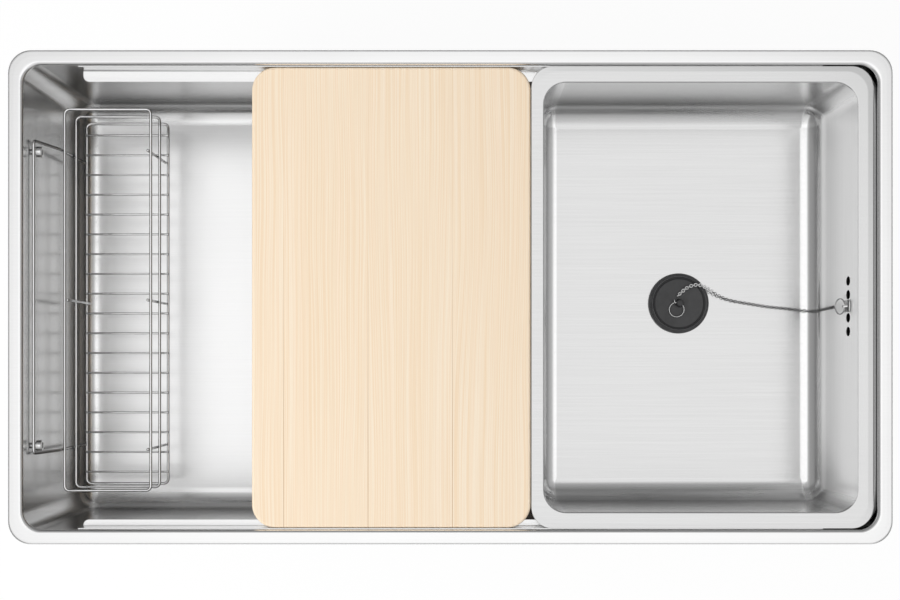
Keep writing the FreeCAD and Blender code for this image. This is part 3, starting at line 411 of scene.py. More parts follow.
# %% [markdown]
# ## The sub-bowl
#
# The sub-bowl is thinner steel with a flat flange that turns down at its edge into a skirt, so that it can
# stand on the rails. On the right the flange ends in a lip that leans down towards the bowl's wall, which is
# what draws the fine bright and grey lines there. Each ring is again a rounded rectangle, and between the
# flange's outline and the opening's all its numbers pass from one to the other.

# %% Sub-bowl
TRAY, FLANGE_SHIFT = np.array([249.2, 0.0]), 1.55
OPENING_L, OPENING_W, FLANGE_L, FLANGE_W = 155.8, 213.8, 170.15, 230.1
TRAY_CORNER, TRAY_SHEET, TRAY_ROUND, SKIRT_END = 22.0, 1.0, 23.0, -21.0
PLUG_HOLE_R, HOLE_END = 24.0, -133.0
TO_HOLE = [0.01, 0.04, 0.15, 0.35, 0.6, 0.85, 0.96, 0.99]
LIP_REACH, LIP_DROP, LIP_CORNER_DROP, LIP_FROM = 3.7, 0.6, 3.0, 398.0


def tray_rings(section):
    """Rings from (share, out, height): share 0 is the opening's outline, 1 the flange's, moved by out."""
    share, out, height = section.T
    half_l = OPENING_L + (FLANGE_L - OPENING_L) * share + out
    half_w = OPENING_W + (FLANGE_W - OPENING_W) * share + out
    corner = np.where(share > 0, TRAY_CORNER - share, np.maximum(TRAY_CORNER + out, 1.0))
    return rounded_rings(half_l, half_w, corner, height, TRAY[0] + FLANGE_SHIFT * share)


def lipped(rings):
    """The flange's right edge drawn out and down, fading out round the corners and down the skirt."""
    x, y, z = np.moveaxis(rings, -1, 0)
    along = np.clip((230.0 - np.abs(y)) / 14.0, 0, 1) * np.clip((x - LIP_FROM) / 12.0, 0, 1)
    share = along * np.clip((-0.3 - z) / 0.7, 0, 1) * np.clip((z - SKIRT_END) / 18.0, 0, 1)
    corner = 1 - np.clip((214.0 - np.abs(y)) / 7.0, 0, 1)
    drop = LIP_DROP + (LIP_CORNER_DROP - LIP_DROP) * corner
    return rings + share[..., None] * np.stack([np.full_like(x, LIP_REACH), 0 * x, -drop], axis=-1)


def tray_skin(edge, wall, floor, hole):
    """One side of the sub-bowl, from the skirt's lower edge to the plug hole's."""
    outer = np.column_stack([np.ones(len(edge)), edge])
    inner = np.column_stack([np.zeros(len(wall)), wall])
    rings = lipped(tray_rings(np.vstack([outer, inner])))
    flat = to_circle(rings[-1], hole[0, 0], TRAY, floor, TO_HOLE)
    return np.concatenate([rings, flat, circles_like(rings[-1], TRAY, hole)])


def tray_wall(grow, mouth_round):
    """From the flange's inner part over the mouth, down the wall and into the floor, grown by the sheet."""
    low = TRAY_FLOOR - grow
    corners = [(3.4, -grow), (grow, -grow), (grow, low), (-TRAY_ROUND - 1, low)]
    return soft_path(corners, [mouth_round, TRAY_ROUND + grow], 12, 0.3)


def hole_section(grow):
    """The turned-down edge of the plug hole."""
    low, radius = TRAY_FLOOR - grow, PLUG_HOLE_R + grow
    return soft_path([(radius + 2, low), (radius, low), (radius, HOLE_END)], [1.2], 4, 0.1)


skirt_inside = soft_path([(-1.7, SKIRT_END), (-1.7, -1.6), (-6.6, -TRAY_SHEET)], [0.5], 4, 0.2)
skirt_outside = soft_path(
    [(-0.7, SKIRT_END), (-0.7, -1.5), (0, -1.0), (-0.1, -0.3), (-5.4, 0), (-6.6, 0)],
    [0.4, 0.2, 0.3, 20], 6, 0.1,
)
tray_inside = tray_skin(skirt_outside, tray_wall(0, 1.5), TRAY_FLOOR, hole_section(0))
tray_outside = tray_skin(
    skirt_inside, tray_wall(TRAY_SHEET, 1.0), TRAY_FLOOR - TRAY_SHEET, hole_section(TRAY_SHEET)
)
tray = grid_piece("sub_bowl_skin", np.concatenate([tray_inside, tray_outside[::-1]]))

# %% [markdown]
# Four overflow holes go through the right wall, two on each side of the chain's eye. They are a little taller
# than wide. Their cutters are short tubes, and one Boolean drills all four. Its result is applied, so nothing
# is left to work out later.

# %% Overflow holes
OVERFLOW_R, OVERFLOW_TALL, OVERFLOW_Z = 4.8, 1.25, -34.5
OVERFLOW_Y = (-33.1, -19.1, 4.5, 18.5)


def drill(piece, cutter):
    """Cuts a cutter's shape out of a piece, applies the result and removes the cutter."""
    cut = piece.modifiers.new("drill", "BOOLEAN")
    cut.object, cut.operation, cut.solver = cutter, "DIFFERENCE", "EXACT"
    bpy.context.view_layer.update()
    drilled = bpy.data.meshes.new_from_object(piece.evaluated_get(bpy.context.evaluated_depsgraph_get()))
    piece.modifiers.clear()
    piece.data = drilled
    drilled.shade_smooth()
    drilled.set_sharp_from_angle(angle=np.radians(35.0))
    bpy.data.objects.remove(cutter)


through_wall = (395.0, 403.0, 408.0, 415.0)
rods = [tube([(x, y, 0.0) for x in through_wall], OVERFLOW_R, (0, 0, 1), 32) for y in OVERFLOW_Y]
pins = [rod * (1.0, 1.0, OVERFLOW_TALL) + (0.0, 0.0, OVERFLOW_Z) for rod in rods]
drill(tray, mesh_piece("overflow_cutter", *several(pins, False)))
settle(tray, "sub_bowl", "bowl_steel", "sub_bowl")

# %% [markdown]
# ## Turned pieces
#
# A lathe makes a solid from one line: each point of the line goes round the axis in a circle. Where the line
# starts and ends on the axis, the poles close. The same few lines make the plug, its post and the studs.

# %% Lathe
def turned(section, centre, steps=72, axis="z"):
    """Circles about an axis through the centre, one for each (radius, distance along the axis)."""
    section = np.asarray(section, float)
    turn = np.linspace(0, 2 * np.pi, steps, endpoint=False)
    across = section[:, :1] * np.cos(turn), section[:, :1] * np.sin(turn)
    along = np.broadcast_to(section[:, 1:], across[0].shape)
    order = {"z": (across[0], across[1], along), "x": (along, across[0], across[1])}[axis]
    return np.stack(order, axis=-1) + np.asarray(centre, float)

# %% [markdown]
# ## The plug
#
# The plug is moulded from black rubber. A sloped edge with three fine ribs runs round a shallow groove, and a
# shallow dish rises to a post in the middle. The post has a cross hole for the ring, which a Boolean cuts:
# a hole across a round post isn't a simple grid.

# %% Plug
PLUG = (249.2, 0.0, TRAY_FLOOR)
PLUG_R, PLUG_HINGE, HINGE_WAY = 33.0, np.array([249.2, 0.0, -117.1]), np.array([0.9048, -0.4258, 0.0])
CROSS_HOLE_R = 1.7
ribs = [(32.75, 3.4), (32.2, 4.4), (31.75, 4.15), (31.2, 5.2), (30.75, 4.95), (30.2, 6.1), (29.6, 6.6)]
plug_section = soft_path(
    [(0, -6.7), (21.6, -6.7), (23.6, -3.2), (23.6, 0.3), (PLUG_R, 0.3), *ribs, (28.9, 6.9), (28.1, 5.3),
     (27.2, 5.1), (26.2, 5.75), (12, 5.35), (0, 5.3)],
    [0.8, 0.8, 0.5, 0.5, 0.4, 0.2, 0.2, 0.2, 0.2, 0.3, 0.5, 0.5, 0.4, 0.5, 0.8, 8], 4, 0.02,
)
plug = grid_piece("plug", turned(plug_section, PLUG, 96), close_rows=False, crease=50.0)
settle(plug, "stopper", "stopper_rubber", "stopper")

post_section = soft_path([(0, 4.6), (5.2, 4.6), (4.0, 6.4), (3.9, 12.9), (0, 13.0)], [0.4, 1.2, 1.6], 6, 0.05)
post = grid_piece("plug_post", turned(post_section, PLUG, 40), close_rows=False)
hole_path = PLUG_HINGE + np.outer([-8.0, -3.0, 3.0, 8.0], HINGE_WAY)
drill(post, grid_piece("hole_cutter", tube(hole_path, CROSS_HOLE_R, (0, 0, 1), 24), False))
settle(post, "stopper", "stopper_rubber")

# %% [markdown]
# ## Rings
#
# The two large rings are split rings: one wire wound twice round, side by side, as on a key ring. The wire's
# path is a circle whose height changes from one side to the other over a short stretch, and the wire thins
# to nothing where it ends.

# %% Split rings
RING_R, RING_WIRE = 7.95, 0.8
PLUG_RING_TILT, PLUG_RING_BEARING, WALL_RING_TILT = 11.5, 244.8, 18.0
WALL_HINGE = np.array([402.6, -7.3, -33.0])


def split_ring(centre, axis, start, radius, wire):
    """Two turns: centre + radius * (cos a * start + sin a * across), half a wire below, then above."""
    axis = np.asarray(axis, float) / np.linalg.norm(axis)
    start = np.asarray(start, float) - axis * (np.asarray(start, float) @ axis)
    start /= np.linalg.norm(start)
    across = np.cross(axis, start)
    turn = np.linspace(0, 4 * np.pi, 121)
    beside = np.tanh((turn - 2 * np.pi) * 4) * wire / 2
    path = np.asarray(centre) + radius * (np.cos(turn)[:, None] * start + np.sin(turn)[:, None] * across)
    path = path + beside[:, None] * axis
    taper = np.clip(np.minimum(turn, 4 * np.pi - turn) / 0.2, 0.25, 1) * wire / 2
    return tube(path, taper, axis, 10)


def hung_ring(name, hinge, away, axis, body, node):
    """A split ring whose middle lies one radius away from the point that it hangs on."""
    wound = split_ring(hinge + away * RING_R, axis, -away, RING_R, RING_WIRE)
    settle(grid_piece(name, wound, False, crease=80.0), body, "polished_wire", node)


tilt, bearing = np.radians(PLUG_RING_TILT), np.radians(PLUG_RING_BEARING)
away = np.array([np.cos(bearing) * np.cos(tilt), np.sin(bearing) * np.cos(tilt), -np.sin(tilt)])
axis = np.cross(away, np.cross((0, 0, 1), away))
hung_ring("plug_split_ring", PLUG_HINGE, away, axis, "plug_ring", "stopper_ring")

tilt = np.radians(WALL_RING_TILT)
hang = np.array([-np.sin(tilt), 0.0, -np.cos(tilt)])
axis = np.cross((0.0, 1.0, 0.0), hang)
hung_ring("wall_split_ring", WALL_HINGE, hang, axis, "wall_ring", "chain_wall_ring")

# %% [markdown]
# ## The rack
#
# The rack is welded from bright round wire. Three closed rectangles, eighteen cross wires, four uprights and
# one long wire that is bent into two arms and the bar on the studs are all tubes along simple paths.

# %% Rack
RACK_X, RACK_Y, FRAME_HALF_L, FRAME_HALF_W, FRAME_CORNER = -363.5, 1.5, 45.6, 202.0, 5.0
FRAME_LEVELS = {"rack_top_frame": -82.0, "rack_middle_frame": -122.5, "rack_bottom_frame": -163.0}
WIRE_R, SLAT_R, SLAT_COUNT, SLAT_PITCH, SLAT_Z = 1.5, 1.1, 18, 22.2, -160.37
UPRIGHT_SPACING, FRONT_UPRIGHTS_X, BACK_UPRIGHT_X = 158.5, -320.93, -406.07
ARM_X, ARM_Y, HANGER_BEND = -412.13, (160.0, -157.0), 4.0

for name, level in FRAME_LEVELS.items():
    path = rounded_rings(FRAME_HALF_L, FRAME_HALF_W, FRAME_CORNER, level, RACK_X, arc=7, side=6)[0]
    path[:, 1] += RACK_Y
    frame_wire = tube(path, WIRE_R, (0, 0, 1), closed=True)
    settle(grid_piece(name + "_wire", frame_wire), "rack", "polished_wire", name)

slat_y = [RACK_Y + (n - (SLAT_COUNT - 1) / 2) * SLAT_PITCH for n in range(SLAT_COUNT)]
slat_x = (-409.9, -380.0, -347.0, -317.1)
slats = [tube([(x, y, SLAT_Z) for x in slat_x], SLAT_R, (0, 0, 1), 12) for y in slat_y]
settle(mesh_piece("rack_cross_wires", *several(slats, False)), "rack", "polished_wire", "rack_slats")

spots = [(FRONT_UPRIGHTS_X, RACK_Y + n * UPRIGHT_SPACING) for n in (-1, 0, 1)] + [(BACK_UPRIGHT_X, RACK_Y)]
upright_z = (-163.6, -140.0, -100.0, -81.4)
uprights = [tube([(x, y, z) for z in upright_z], WIRE_R, (1, 0, 0), 12) for x, y in spots]
settle(mesh_piece("rack_standing_wires", *several(uprights, False)), "rack", "polished_wire", "rack_uprights")

arm = [(ARM_X, -163.6), (ARM_X, -74.0), (-422.0, -22.0)]
bar = [(x, ARM_Y[0], z) for x, z in arm] + [(x, ARM_Y[1], z) for x, z in arm[::-1]]
hanger = tube(soft_path(bar, [HANGER_BEND] * 4, 8, 2.0), WIRE_R, (1, 0, 0), 14)
settle(grid_piece("rack_hanger_wire", hanger, False), "rack", "polished_wire", "rack_hanger")

# %% [markdown]
# ## Studs
#
# Each stud is turned from bright steel: a thin neck that the bar lies on, and a wide head with a bevelled
# edge and a small dish in its face.

# %% Studs
STUD_Y, STUD_Z, HEAD_R, NECK_R, THREAD_R = 149.0, -26.8, 5.5, 3.0, 2.5
stud_section = soft_path(
    [(0, -435.2), (THREAD_R, -435.2), (THREAD_R, -425), (NECK_R, -425), (NECK_R, -420.25), (HEAD_R, -420.25),
     (HEAD_R, -414.4), (3.2, -414.4), (2.6, -415.2), (0, -415.3)],
    [0.4, 0.2, 0.2, 0.3, 0.4, 0.9, 0.3, 0.3], 4, 0.05,
)
studs = [turned(stud_section, (0, y, STUD_Z), 40, "x") for y in (-STUD_Y, STUD_Y)]
settle(mesh_piece("studs", *several(studs, False)), "sink", "polished_wire", "hanger_studs")

# %% [markdown]
# ## The board
#
# The board is a plain slab with rounded corners and soft edges, so its section is the edge's section and the
# rings close to a line along the middle of its top and underside.

# %% Board
BOARD_X, BOARD_HALF_L, BOARD_HALF_W, BOARD_CORNER, BOARD_ROUND = -58.9, 138.9, 229.4, 23.0, 2.5
TOP, UNDER, STEPS_IN = -1.0, -21.0, (-110, -60, -20)
edge = soft_path([(-114, TOP), (0, TOP), (0, UNDER), (-114, UNDER)], [BOARD_ROUND] * 2, 6, 0.5)[1:-1]
over, below = [(x, TOP) for x in STEPS_IN], [(x, UNDER) for x in STEPS_IN[::-1]]
out, height = np.vstack([over, edge, below]).T
corner = np.maximum(BOARD_CORNER + out, 0.5)
board_rings = rounded_rings(BOARD_HALF_L + out, BOARD_HALF_W + out, corner, height, BOARD_X, arc=14, side=12)
top_cap, under_cap = board_rings[0].copy(), board_rings[-1].copy()
top_cap[:, :2] = under_cap[:, :2] = (BOARD_X, 0.0)
board = grid_piece("board", np.concatenate([[top_cap], board_rings, [under_cap]]), close_rows=False)
settle(board, "board", "board_wood", "cutting_board")

# %% [markdown]
# ## Small fittings
#
# The rails, the seal, the clips and the drain already have the right shape. Their triangles are loose, so a
# copy is joined at its shared corners: then the light runs smoothly round a cylinder and still breaks at an
# edge. Most of them also get a narrow bevel, because real sheet is never knife-sharp.

# %% Smooth copies
def smooth_copy(node, body, slot, bevel=0.0, crease=35.0):
    """A copy of a solid's mesh, its doubles merged, smooth up to the crease angle, with a bevel in mm."""
    mesh = NODES[node].data.copy()
    mesh.name = node + "_skin"
    mesh.materials.clear()
    work = bmesh.new()
    work.from_mesh(mesh)
    bmesh.ops.remove_doubles(work, verts=work.verts, dist=1e-6)
    bmesh.ops.dissolve_limit(work, angle_limit=0.002, verts=work.verts, edges=work.edges)
    work.to_mesh(mesh)
    work.free()
    mesh.shade_smooth()
    mesh.set_sharp_from_angle(angle=np.radians(crease))
    piece = put(node + "_skin", mesh)
    if bevel:
        edge = piece.modifiers.new("edge", "BEVEL")
        edge.width, edge.segments, edge.harden_normals = bevel * MM, 2, True
        edge.limit_method, edge.angle_limit = "ANGLE", np.radians(50)
    return settle(piece, body, slot, node)


FITTINGS = [
    ("ledge_rail_back", "rail_steel", 0.35), ("ledge_rail_front", "rail_steel", 0.35),
    ("rim_seal", "foam_rubber", 0.0), ("sound_pads", "pad_rubber", 0.3), ("chain_eye", "polished_wire", 0.12),
    ("chain_end_ring", "polished_wire", 0.0), ("stud_washers", "plated_steel", 0.1),
    ("stud_nuts", "plated_steel", 0.25), ("clip_brackets", "plated_steel", 0.3),
    ("clip_screws", "plated_steel", 0.2), ("clip_feet", "plated_steel", 0.3),
    ("drain_cup", "drain_steel", 0.0), ("drain_gasket", "stopper_rubber", 0.2),
    ("friction_washer", "washer_fibre", 0.1), ("drain_lock_nut", "drain_steel", 0.4),
    ("strainer_basket", "drain_steel", 0.0),
    ("basket_seal", "stopper_rubber", 0.4), ("basket_knob", "stopper_rubber", 0.6),
    ("tailpiece", "drain_steel", 0.0), ("tailpiece_washer", "stopper_rubber", 0.1),
    ("slip_nut", "plated_steel", 0.5),
]
RIDES_ON = {
    "chain_eye": "sub_bowl", "chain_end_ring": "plug_ring",
    "strainer_basket": "basket", "basket_seal": "basket", "basket_knob": "basket",
}
for node, slot, bevel in FITTINGS:
    smooth_copy(node, RIDES_ON.get(node, "sink"), slot, bevel)

# %% [markdown]
# ## A helper for finishes
#
# A finish is a small network of nodes that ends in one shader. Numbers that are the same all over go straight
# onto the shader's sockets. Patterns read the Object coordinates, in metres from the sink's middle, so a
# pattern stays on its piece when the piece moves.

# %% Nodes
class Finish:
    """A material with a Principled shader, and short ways to add the nodes that feed it."""

    def __init__(self, name, **sockets):
        self.material = bpy.data.materials.new(name)
        self.material.use_nodes = True
        self.nodes, self.links = self.material.node_tree.nodes, self.material.node_tree.links
        self.shader = self.nodes["Principled BSDF"]
        for socket, value in sockets.items():
            self.shader.inputs[socket.replace("_", " ")].default_value = value
        self.where = self.nodes.new("ShaderNodeTexCoord").outputs["Object"]

    def add(self, kind, outlet=0, **given):
        """A node of a kind. Given values go to its own settings, or to its inputs by name or by number."""
        node = self.nodes.new("ShaderNode" + kind)
        for key, value in given.items():
            if hasattr(node, key):
                setattr(node, key, value)
                continue
            slot = int(key[1:]) if key[1:].isdigit() else key.replace("_", " ")
            if isinstance(value, bpy.types.NodeSocket):
                self.links.new(value, node.inputs[slot])
            else:
                node.inputs[slot].default_value = value
        return node.outputs[outlet]

    def scaled(self, x=1.0, y=1.0, z=1.0, place=None):
        """The place on the object, or another place, stretched along each axis."""
        return self.add("Mapping", Vector=place or self.where, Scale=(x, y, z))

    def noise(self, vector, scale, detail=3.0, rough=0.5):
        """A soft noise between 0 and 1."""
        return self.add("TexNoise", Vector=vector, Scale=scale, Detail=detail, Roughness=rough)

    def ramp(self, value, *stops):
        """A colour ramp through (place, brightness or colour) stops."""
        node = self.nodes.new("ShaderNodeValToRGB")
        band = node.color_ramp.elements
        while len(band) < len(stops):
            band.new(0.5)
        for element, (place, colour) in zip(band, stops):
            colour = (colour,) * 3 if isinstance(colour, (int, float)) else colour
            element.position, element.color = place, (*colour, 1.0)
        self.links.new(value, node.inputs[0])
        return node.outputs[0]

    def mix(self, share, first, second, blend="MIX"):
        """One colour into another by a share, which is a number or a socket."""
        node = self.nodes.new("ShaderNodeMix")
        node.data_type, node.blend_type = "RGBA", blend
        for slot, value in ((0, share), (6, first), (7, second)):
            if isinstance(value, bpy.types.NodeSocket):
                self.links.new(value, node.inputs[slot])
            else:
                node.inputs[slot].default_value = value if slot == 0 else (*value, 1.0)
        return node.outputs[2]

    def math(self, kind, first, second=0.0):
        """One sum of two numbers or sockets."""
        return self.add("Math", operation=kind, i0=first, i1=second)

    def line(self, value, slope, start):
        """slope * value + start."""
        return self.add("Math", operation="MULTIPLY_ADD", i0=value, i1=slope, i2=start)

    def part(self, axis, vector):
        """One coordinate of a vector: 0, 1 or 2 for X, Y or Z."""
        return self.add("SeparateXYZ", axis, i0=vector)

    def feed(self, socket, value):
        """Joins a value to a socket of the shader."""
        self.links.new(value, self.shader.inputs[socket])

    def bump(self, height, strength, distance):
        """Tilts the light as a height of so many metres would."""
        self.feed("Normal", self.add("Bump", Height=height, Strength=strength, Distance=distance))

# %% [markdown]
# ## Brushed steel
#
# A sink is brushed with fine abrasive, so its surface is covered with long shallow scratches. On the floors
# and on the long walls they run along the sink, and on the end walls they run across it. Two stretched noise
# patterns draw them, and how far the surface faces sideways chooses between the two. A soft, large pattern
# under them varies the shine, as hand work does. Every way that a face can look has a shine of its own and a
# painted tone of light and shade, so walls and bends come out darker or brighter than the level faces by the
# way they face. A right wall can be partly matt, and the flange's lip gets a painted shade.

# %% Steel
SHINE_SPREAD, SCRATCH_DEPTH, FINE, LONG = 0.04, 0.35, 1100.0, 7.0


def brushed(name, painted_face_tones, shines, matt=0.0, streaks=0.04, lip_painted_shade=None):
    """Steel whose streaks follow the brushing, with a painted tone and a shine for each way that a face can
    look.

    The painted tone is light and shade painted into the colour, one each for level faces, the rim, long
    walls, left walls, right walls and side bends. The shines are the roughness of walls, long bends, side
    bends and floors. A lip shade, if given, paints a shade on the sub-bowl flange's lip.
    """
    finish = Finish(name)
    level_painted_tone, rim_painted_tone, long_wall_painted_tone, left_wall_painted_tone, right_wall_painted_tone, bend_painted_tone = painted_face_tones
    wall_shine, long_shine, side_shine, floor_shine = shines
    normal = finish.add("NewGeometry", 1)
    rightwards = finish.part(0, normal)
    leftwards = finish.math("MULTIPLY", rightwards, -1.0)
    sideways = finish.math("ABSOLUTE", rightwards)
    upwards = finish.math("ABSOLUTE", finish.part(2, normal))

    along = finish.noise(finish.scaled(LONG, FINE, FINE), 1.0, 4.0, 0.6)
    across = finish.noise(finish.scaled(FINE, LONG, FINE), 1.0, 4.0, 0.6)
    streak = finish.mix(finish.ramp(sideways, (0.5, 0.0), (0.8, 1.0)), along, across)
    cloud = finish.noise(finish.scaled(), 9.0, 3.0, 0.55)
    shine = finish.mix(0.35, streak, finish.ramp(cloud, (0.25, 0.0), (0.75, 1.0)))

    bend = finish.ramp(sideways, (0.1, long_shine), (0.3, side_shine))
    walls = finish.mix(finish.ramp(upwards, (0.05, 0.0), (0.2, 1.0)), (wall_shine,) * 3, bend)
    rough = finish.mix(finish.ramp(upwards, (0.93, 0.0), (0.995, 1.0)), walls, (floor_shine,) * 3)
    swing = finish.math("MULTIPLY", finish.math("SUBTRACT", shine, 0.5), 2 * SHINE_SPREAD)
    finish.feed("Roughness", finish.math("ADD", rough, swing))

    # Painted light and shade: each wall gets a base tone by the way it faces, in place of the light it would
    # catch.
    faces_left = finish.ramp(leftwards, (0.35, 0.0), (0.8, 1.0))
    faces_right = finish.ramp(rightwards, (0.35, 0.0), (0.8, 1.0))
    painted_wall_tone = finish.mix(faces_left, (long_wall_painted_tone,) * 3, (right_wall_painted_tone,) * 3)
    painted_wall_tone = finish.mix(faces_right, painted_wall_tone, (left_wall_painted_tone,) * 3)
    below = finish.mix(finish.ramp(upwards, (0.05, 0.0), (0.75, 1.0)), painted_wall_tone, (level_painted_tone,) * 3)
    # Painted highlight: faces that lean part way sideways, the bends, take the bend's painted tone.
    painted_bend_gleam = finish.ramp(sideways, (0.02, 0.0), (0.08, 1.0), (0.34, 1.0), (0.48, 0.0))
    below = finish.mix(painted_bend_gleam, below, (bend_painted_tone,) * 3)
    # Near the rim's top the painted tone is the rim's own, so its rolled edges get no painted wall shade.
    rim = finish.ramp(finish.line(finish.part(2, finish.where), 250.0, 1.0), (0.6, 0.0), (0.9, 1.0))
    tone = finish.mix(rim, below, (rim_painted_tone,) * 3)
    # Painted shade on the sub-bowl flange's lip, from about 421 mm right of the middle.
    if lip_painted_shade:
        lip = finish.line(finish.part(0, finish.where), 100.0, -42.0)
        tone = finish.mix(1.0, tone, finish.ramp(lip, (0.09, 1.0), (0.13, lip_painted_shade)), "MULTIPLY")
    worn = finish.ramp(streak, (0.3, 1.0 - streaks), (0.7, 1.0))
    finish.feed("Base Color", finish.mix(1.0, tone, worn, "MULTIPLY"))
    finish.feed("Metallic", finish.ramp(leftwards, (0.8, 1.0), (0.92, 1.0 - matt)))
    finish.bump(streak, SCRATCH_DEPTH, 0.00003)
    return finish.material


BOWL_STEEL = brushed("bowl_steel", (1.0, 1.0, 0.6, 0.72, 0.6, 1.0), (0.24, 0.22, 0.22, 0.3))
TRAY_STEEL = brushed(
    "sub_bowl_steel", (0.74, 0.74, 0.76, 0.95, 0.98, 0.98), (0.25, 0.28, 0.14, 0.2),
    matt=0.8, streaks=0.07, lip_painted_shade=0.5,
)
RAIL_STEEL = brushed("rail_steel", (0.92, 0.92, 0.88, 0.88, 0.88, 0.92), (0.22, 0.2, 0.2, 0.22))
DRAIN_STEEL = brushed("drain_steel", (0.79, 0.79, 0.72, 0.72, 0.72, 0.79), (0.28, 0.26, 0.26, 0.28))
print("the bowl's steel has", len(BOWL_STEEL.node_tree.nodes), "nodes")

# %% [markdown]
# ## Wire, plating, rubber and fibre
#
# Wire is polished until almost nothing of the brushing is left, so only its shine varies a little along it.
# Polished metal is darker where it faces sideways, as painted shade. Plated steel keeps a faint mottle from
# the bath. The chain that lies on the pale floor gets a dark colour as painted shade and dark reflection, and
# the part on the black plug a bright one as painted light. Moulded rubber is dull, with a fine grain and
# paler dust in it. The plug's top has rings of tone: pale ones over its ribs as painted highlights, and a
# dark one in its groove as painted shade.

# %% Smaller finishes
def polished(name, colour, side, roughness):
    """Polished metal: its colour on top, and a painted shade where it faces sideways, like wire under a lit
    ceiling.
    """
    finish = Finish(name, Metallic=1.0)
    mottle = finish.noise(finish.scaled(), 60.0, 3.0, 0.5)
    upwards = finish.math("ABSOLUTE", finish.part(2, finish.add("NewGeometry", 1)))
    # Painted shade: faces that turn sideways are darkened to the side share, the top keeps its colour.
    shade = finish.ramp(upwards, (0.3, side), (0.8, 1.0))
    tone = finish.ramp(mottle, (0.3, colour - 0.04), (0.7, colour + 0.03))
    finish.feed("Base Color", finish.mix(1.0, tone, shade, "MULTIPLY"))
    finish.feed("Roughness", finish.ramp(mottle, (0.3, roughness - 0.03), (0.7, roughness + 0.05)))
    return finish.material


def moulded(name, dark, pale, roughness, grain, depth):
    """A matt material with a fine grain, paler where a larger pattern gathers dust."""
    finish = Finish(name)
    dust = finish.noise(finish.scaled(), 45.0, 4.0, 0.6)
    finish.feed("Base Color", finish.mix(finish.ramp(dust, (0.4, 0.0), (0.75, 1.0)), dark, pale))
    finish.feed("Roughness", finish.ramp(dust, (0.3, roughness - 0.06), (0.7, roughness + 0.06)))
    finish.bump(finish.noise(finish.scaled(), grain, 3.0, 0.6), 0.5, depth)
    return finish.material


def rubber_with_painted_rings(name):
    """Black rubber with rings of tone by the distance from the middle: painted highlights over the ribs,
    painted shade in the groove.
    """
    finish = Finish(name, Roughness=0.42)
    to_middle = (-PLUG[0] * MM, 0.0, 0.0)
    flat = finish.add("Mapping", Vector=finish.where, Location=to_middle, Scale=(1.0, 1.0, 0.0))
    out = finish.math("DIVIDE", finish.add("VectorMath", 1, operation="LENGTH", i0=flat), PLUG_R * MM)
    # Painted light: a little paler towards the middle, a dark ring in the groove as painted shade, pale rings
    # over the ribs as painted highlights.
    rings = finish.ramp(
        out, (0.0, 0.45), (0.78, 0.35), (0.82, 0.0), (0.85, 0.05), (0.87, 0.6), (0.89, 0.95), (0.905, 0.35),
        (0.93, 0.9), (0.95, 0.4), (0.97, 1.0), (0.985, 0.5), (1.0, 0.9),
    )
    dust = finish.noise(finish.scaled(), 60.0, 4.0, 0.6)
    share = finish.mix(1.0, rings, finish.ramp(dust, (0.3, 0.5), (0.7, 1.0)), "MULTIPLY")
    finish.feed("Base Color", finish.mix(share, (0.014, 0.014, 0.015), (0.095, 0.095, 0.097)))
    finish.bump(finish.noise(finish.scaled(), 1500.0, 3.0, 0.6), 0.4, 0.00004)
    return finish.material


WIRE = polished("polished_wire", 0.94, 0.3, 0.12)
STUD = polished("stud_steel", 0.88, 0.8, 0.16)
PLUG_RUBBER = rubber_with_painted_rings("plug_rubber")
PLATED = polished("plated_steel", 0.74, 0.9, 0.26)
# One plating in two colours: dark on the floor as painted shade and dark reflection, bright on the plug as
# painted light.
CHAIN_PAINTED_DARK = polished("chain_plating_painted_dark", 0.22, 0.5, 0.3)
CHAIN_PAINTED_BRIGHT = polished("chain_plating_painted_bright", 0.97, 1.0, 0.3)
RUBBER = moulded("black_rubber", (0.022, 0.022, 0.024), (0.05, 0.05, 0.052), 0.46, 1500.0, 0.00004)
FOAM = moulded("foam_rubber", (0.03, 0.03, 0.032), (0.07, 0.07, 0.072), 0.85, 900.0, 0.0002)
PADS = moulded("damping_sheet", (0.055, 0.055, 0.06), (0.1, 0.1, 0.105), 0.7, 500.0, 0.0002)
FIBRE = moulded("pressed_fibre", (0.3, 0.24, 0.17), (0.42, 0.36, 0.27), 0.8, 1200.0, 0.0001)

# %% [markdown]
# ## Softwood
#
# The board is glued from staves of pale, straight-grained softwood. Growth rings cut lengthwise show as fine
# lines along the board. One stretched noise draws the lines, a broader one the pinker bands and a very fine
# one the pores, and a slow one bends them. Each stave reads them at another place, so its lines don't meet
# the next one's. The glue joint is a thin brown line, stronger at the front.

# %% Wood
STAVE, JOINT_AT = 0.084, 0.002


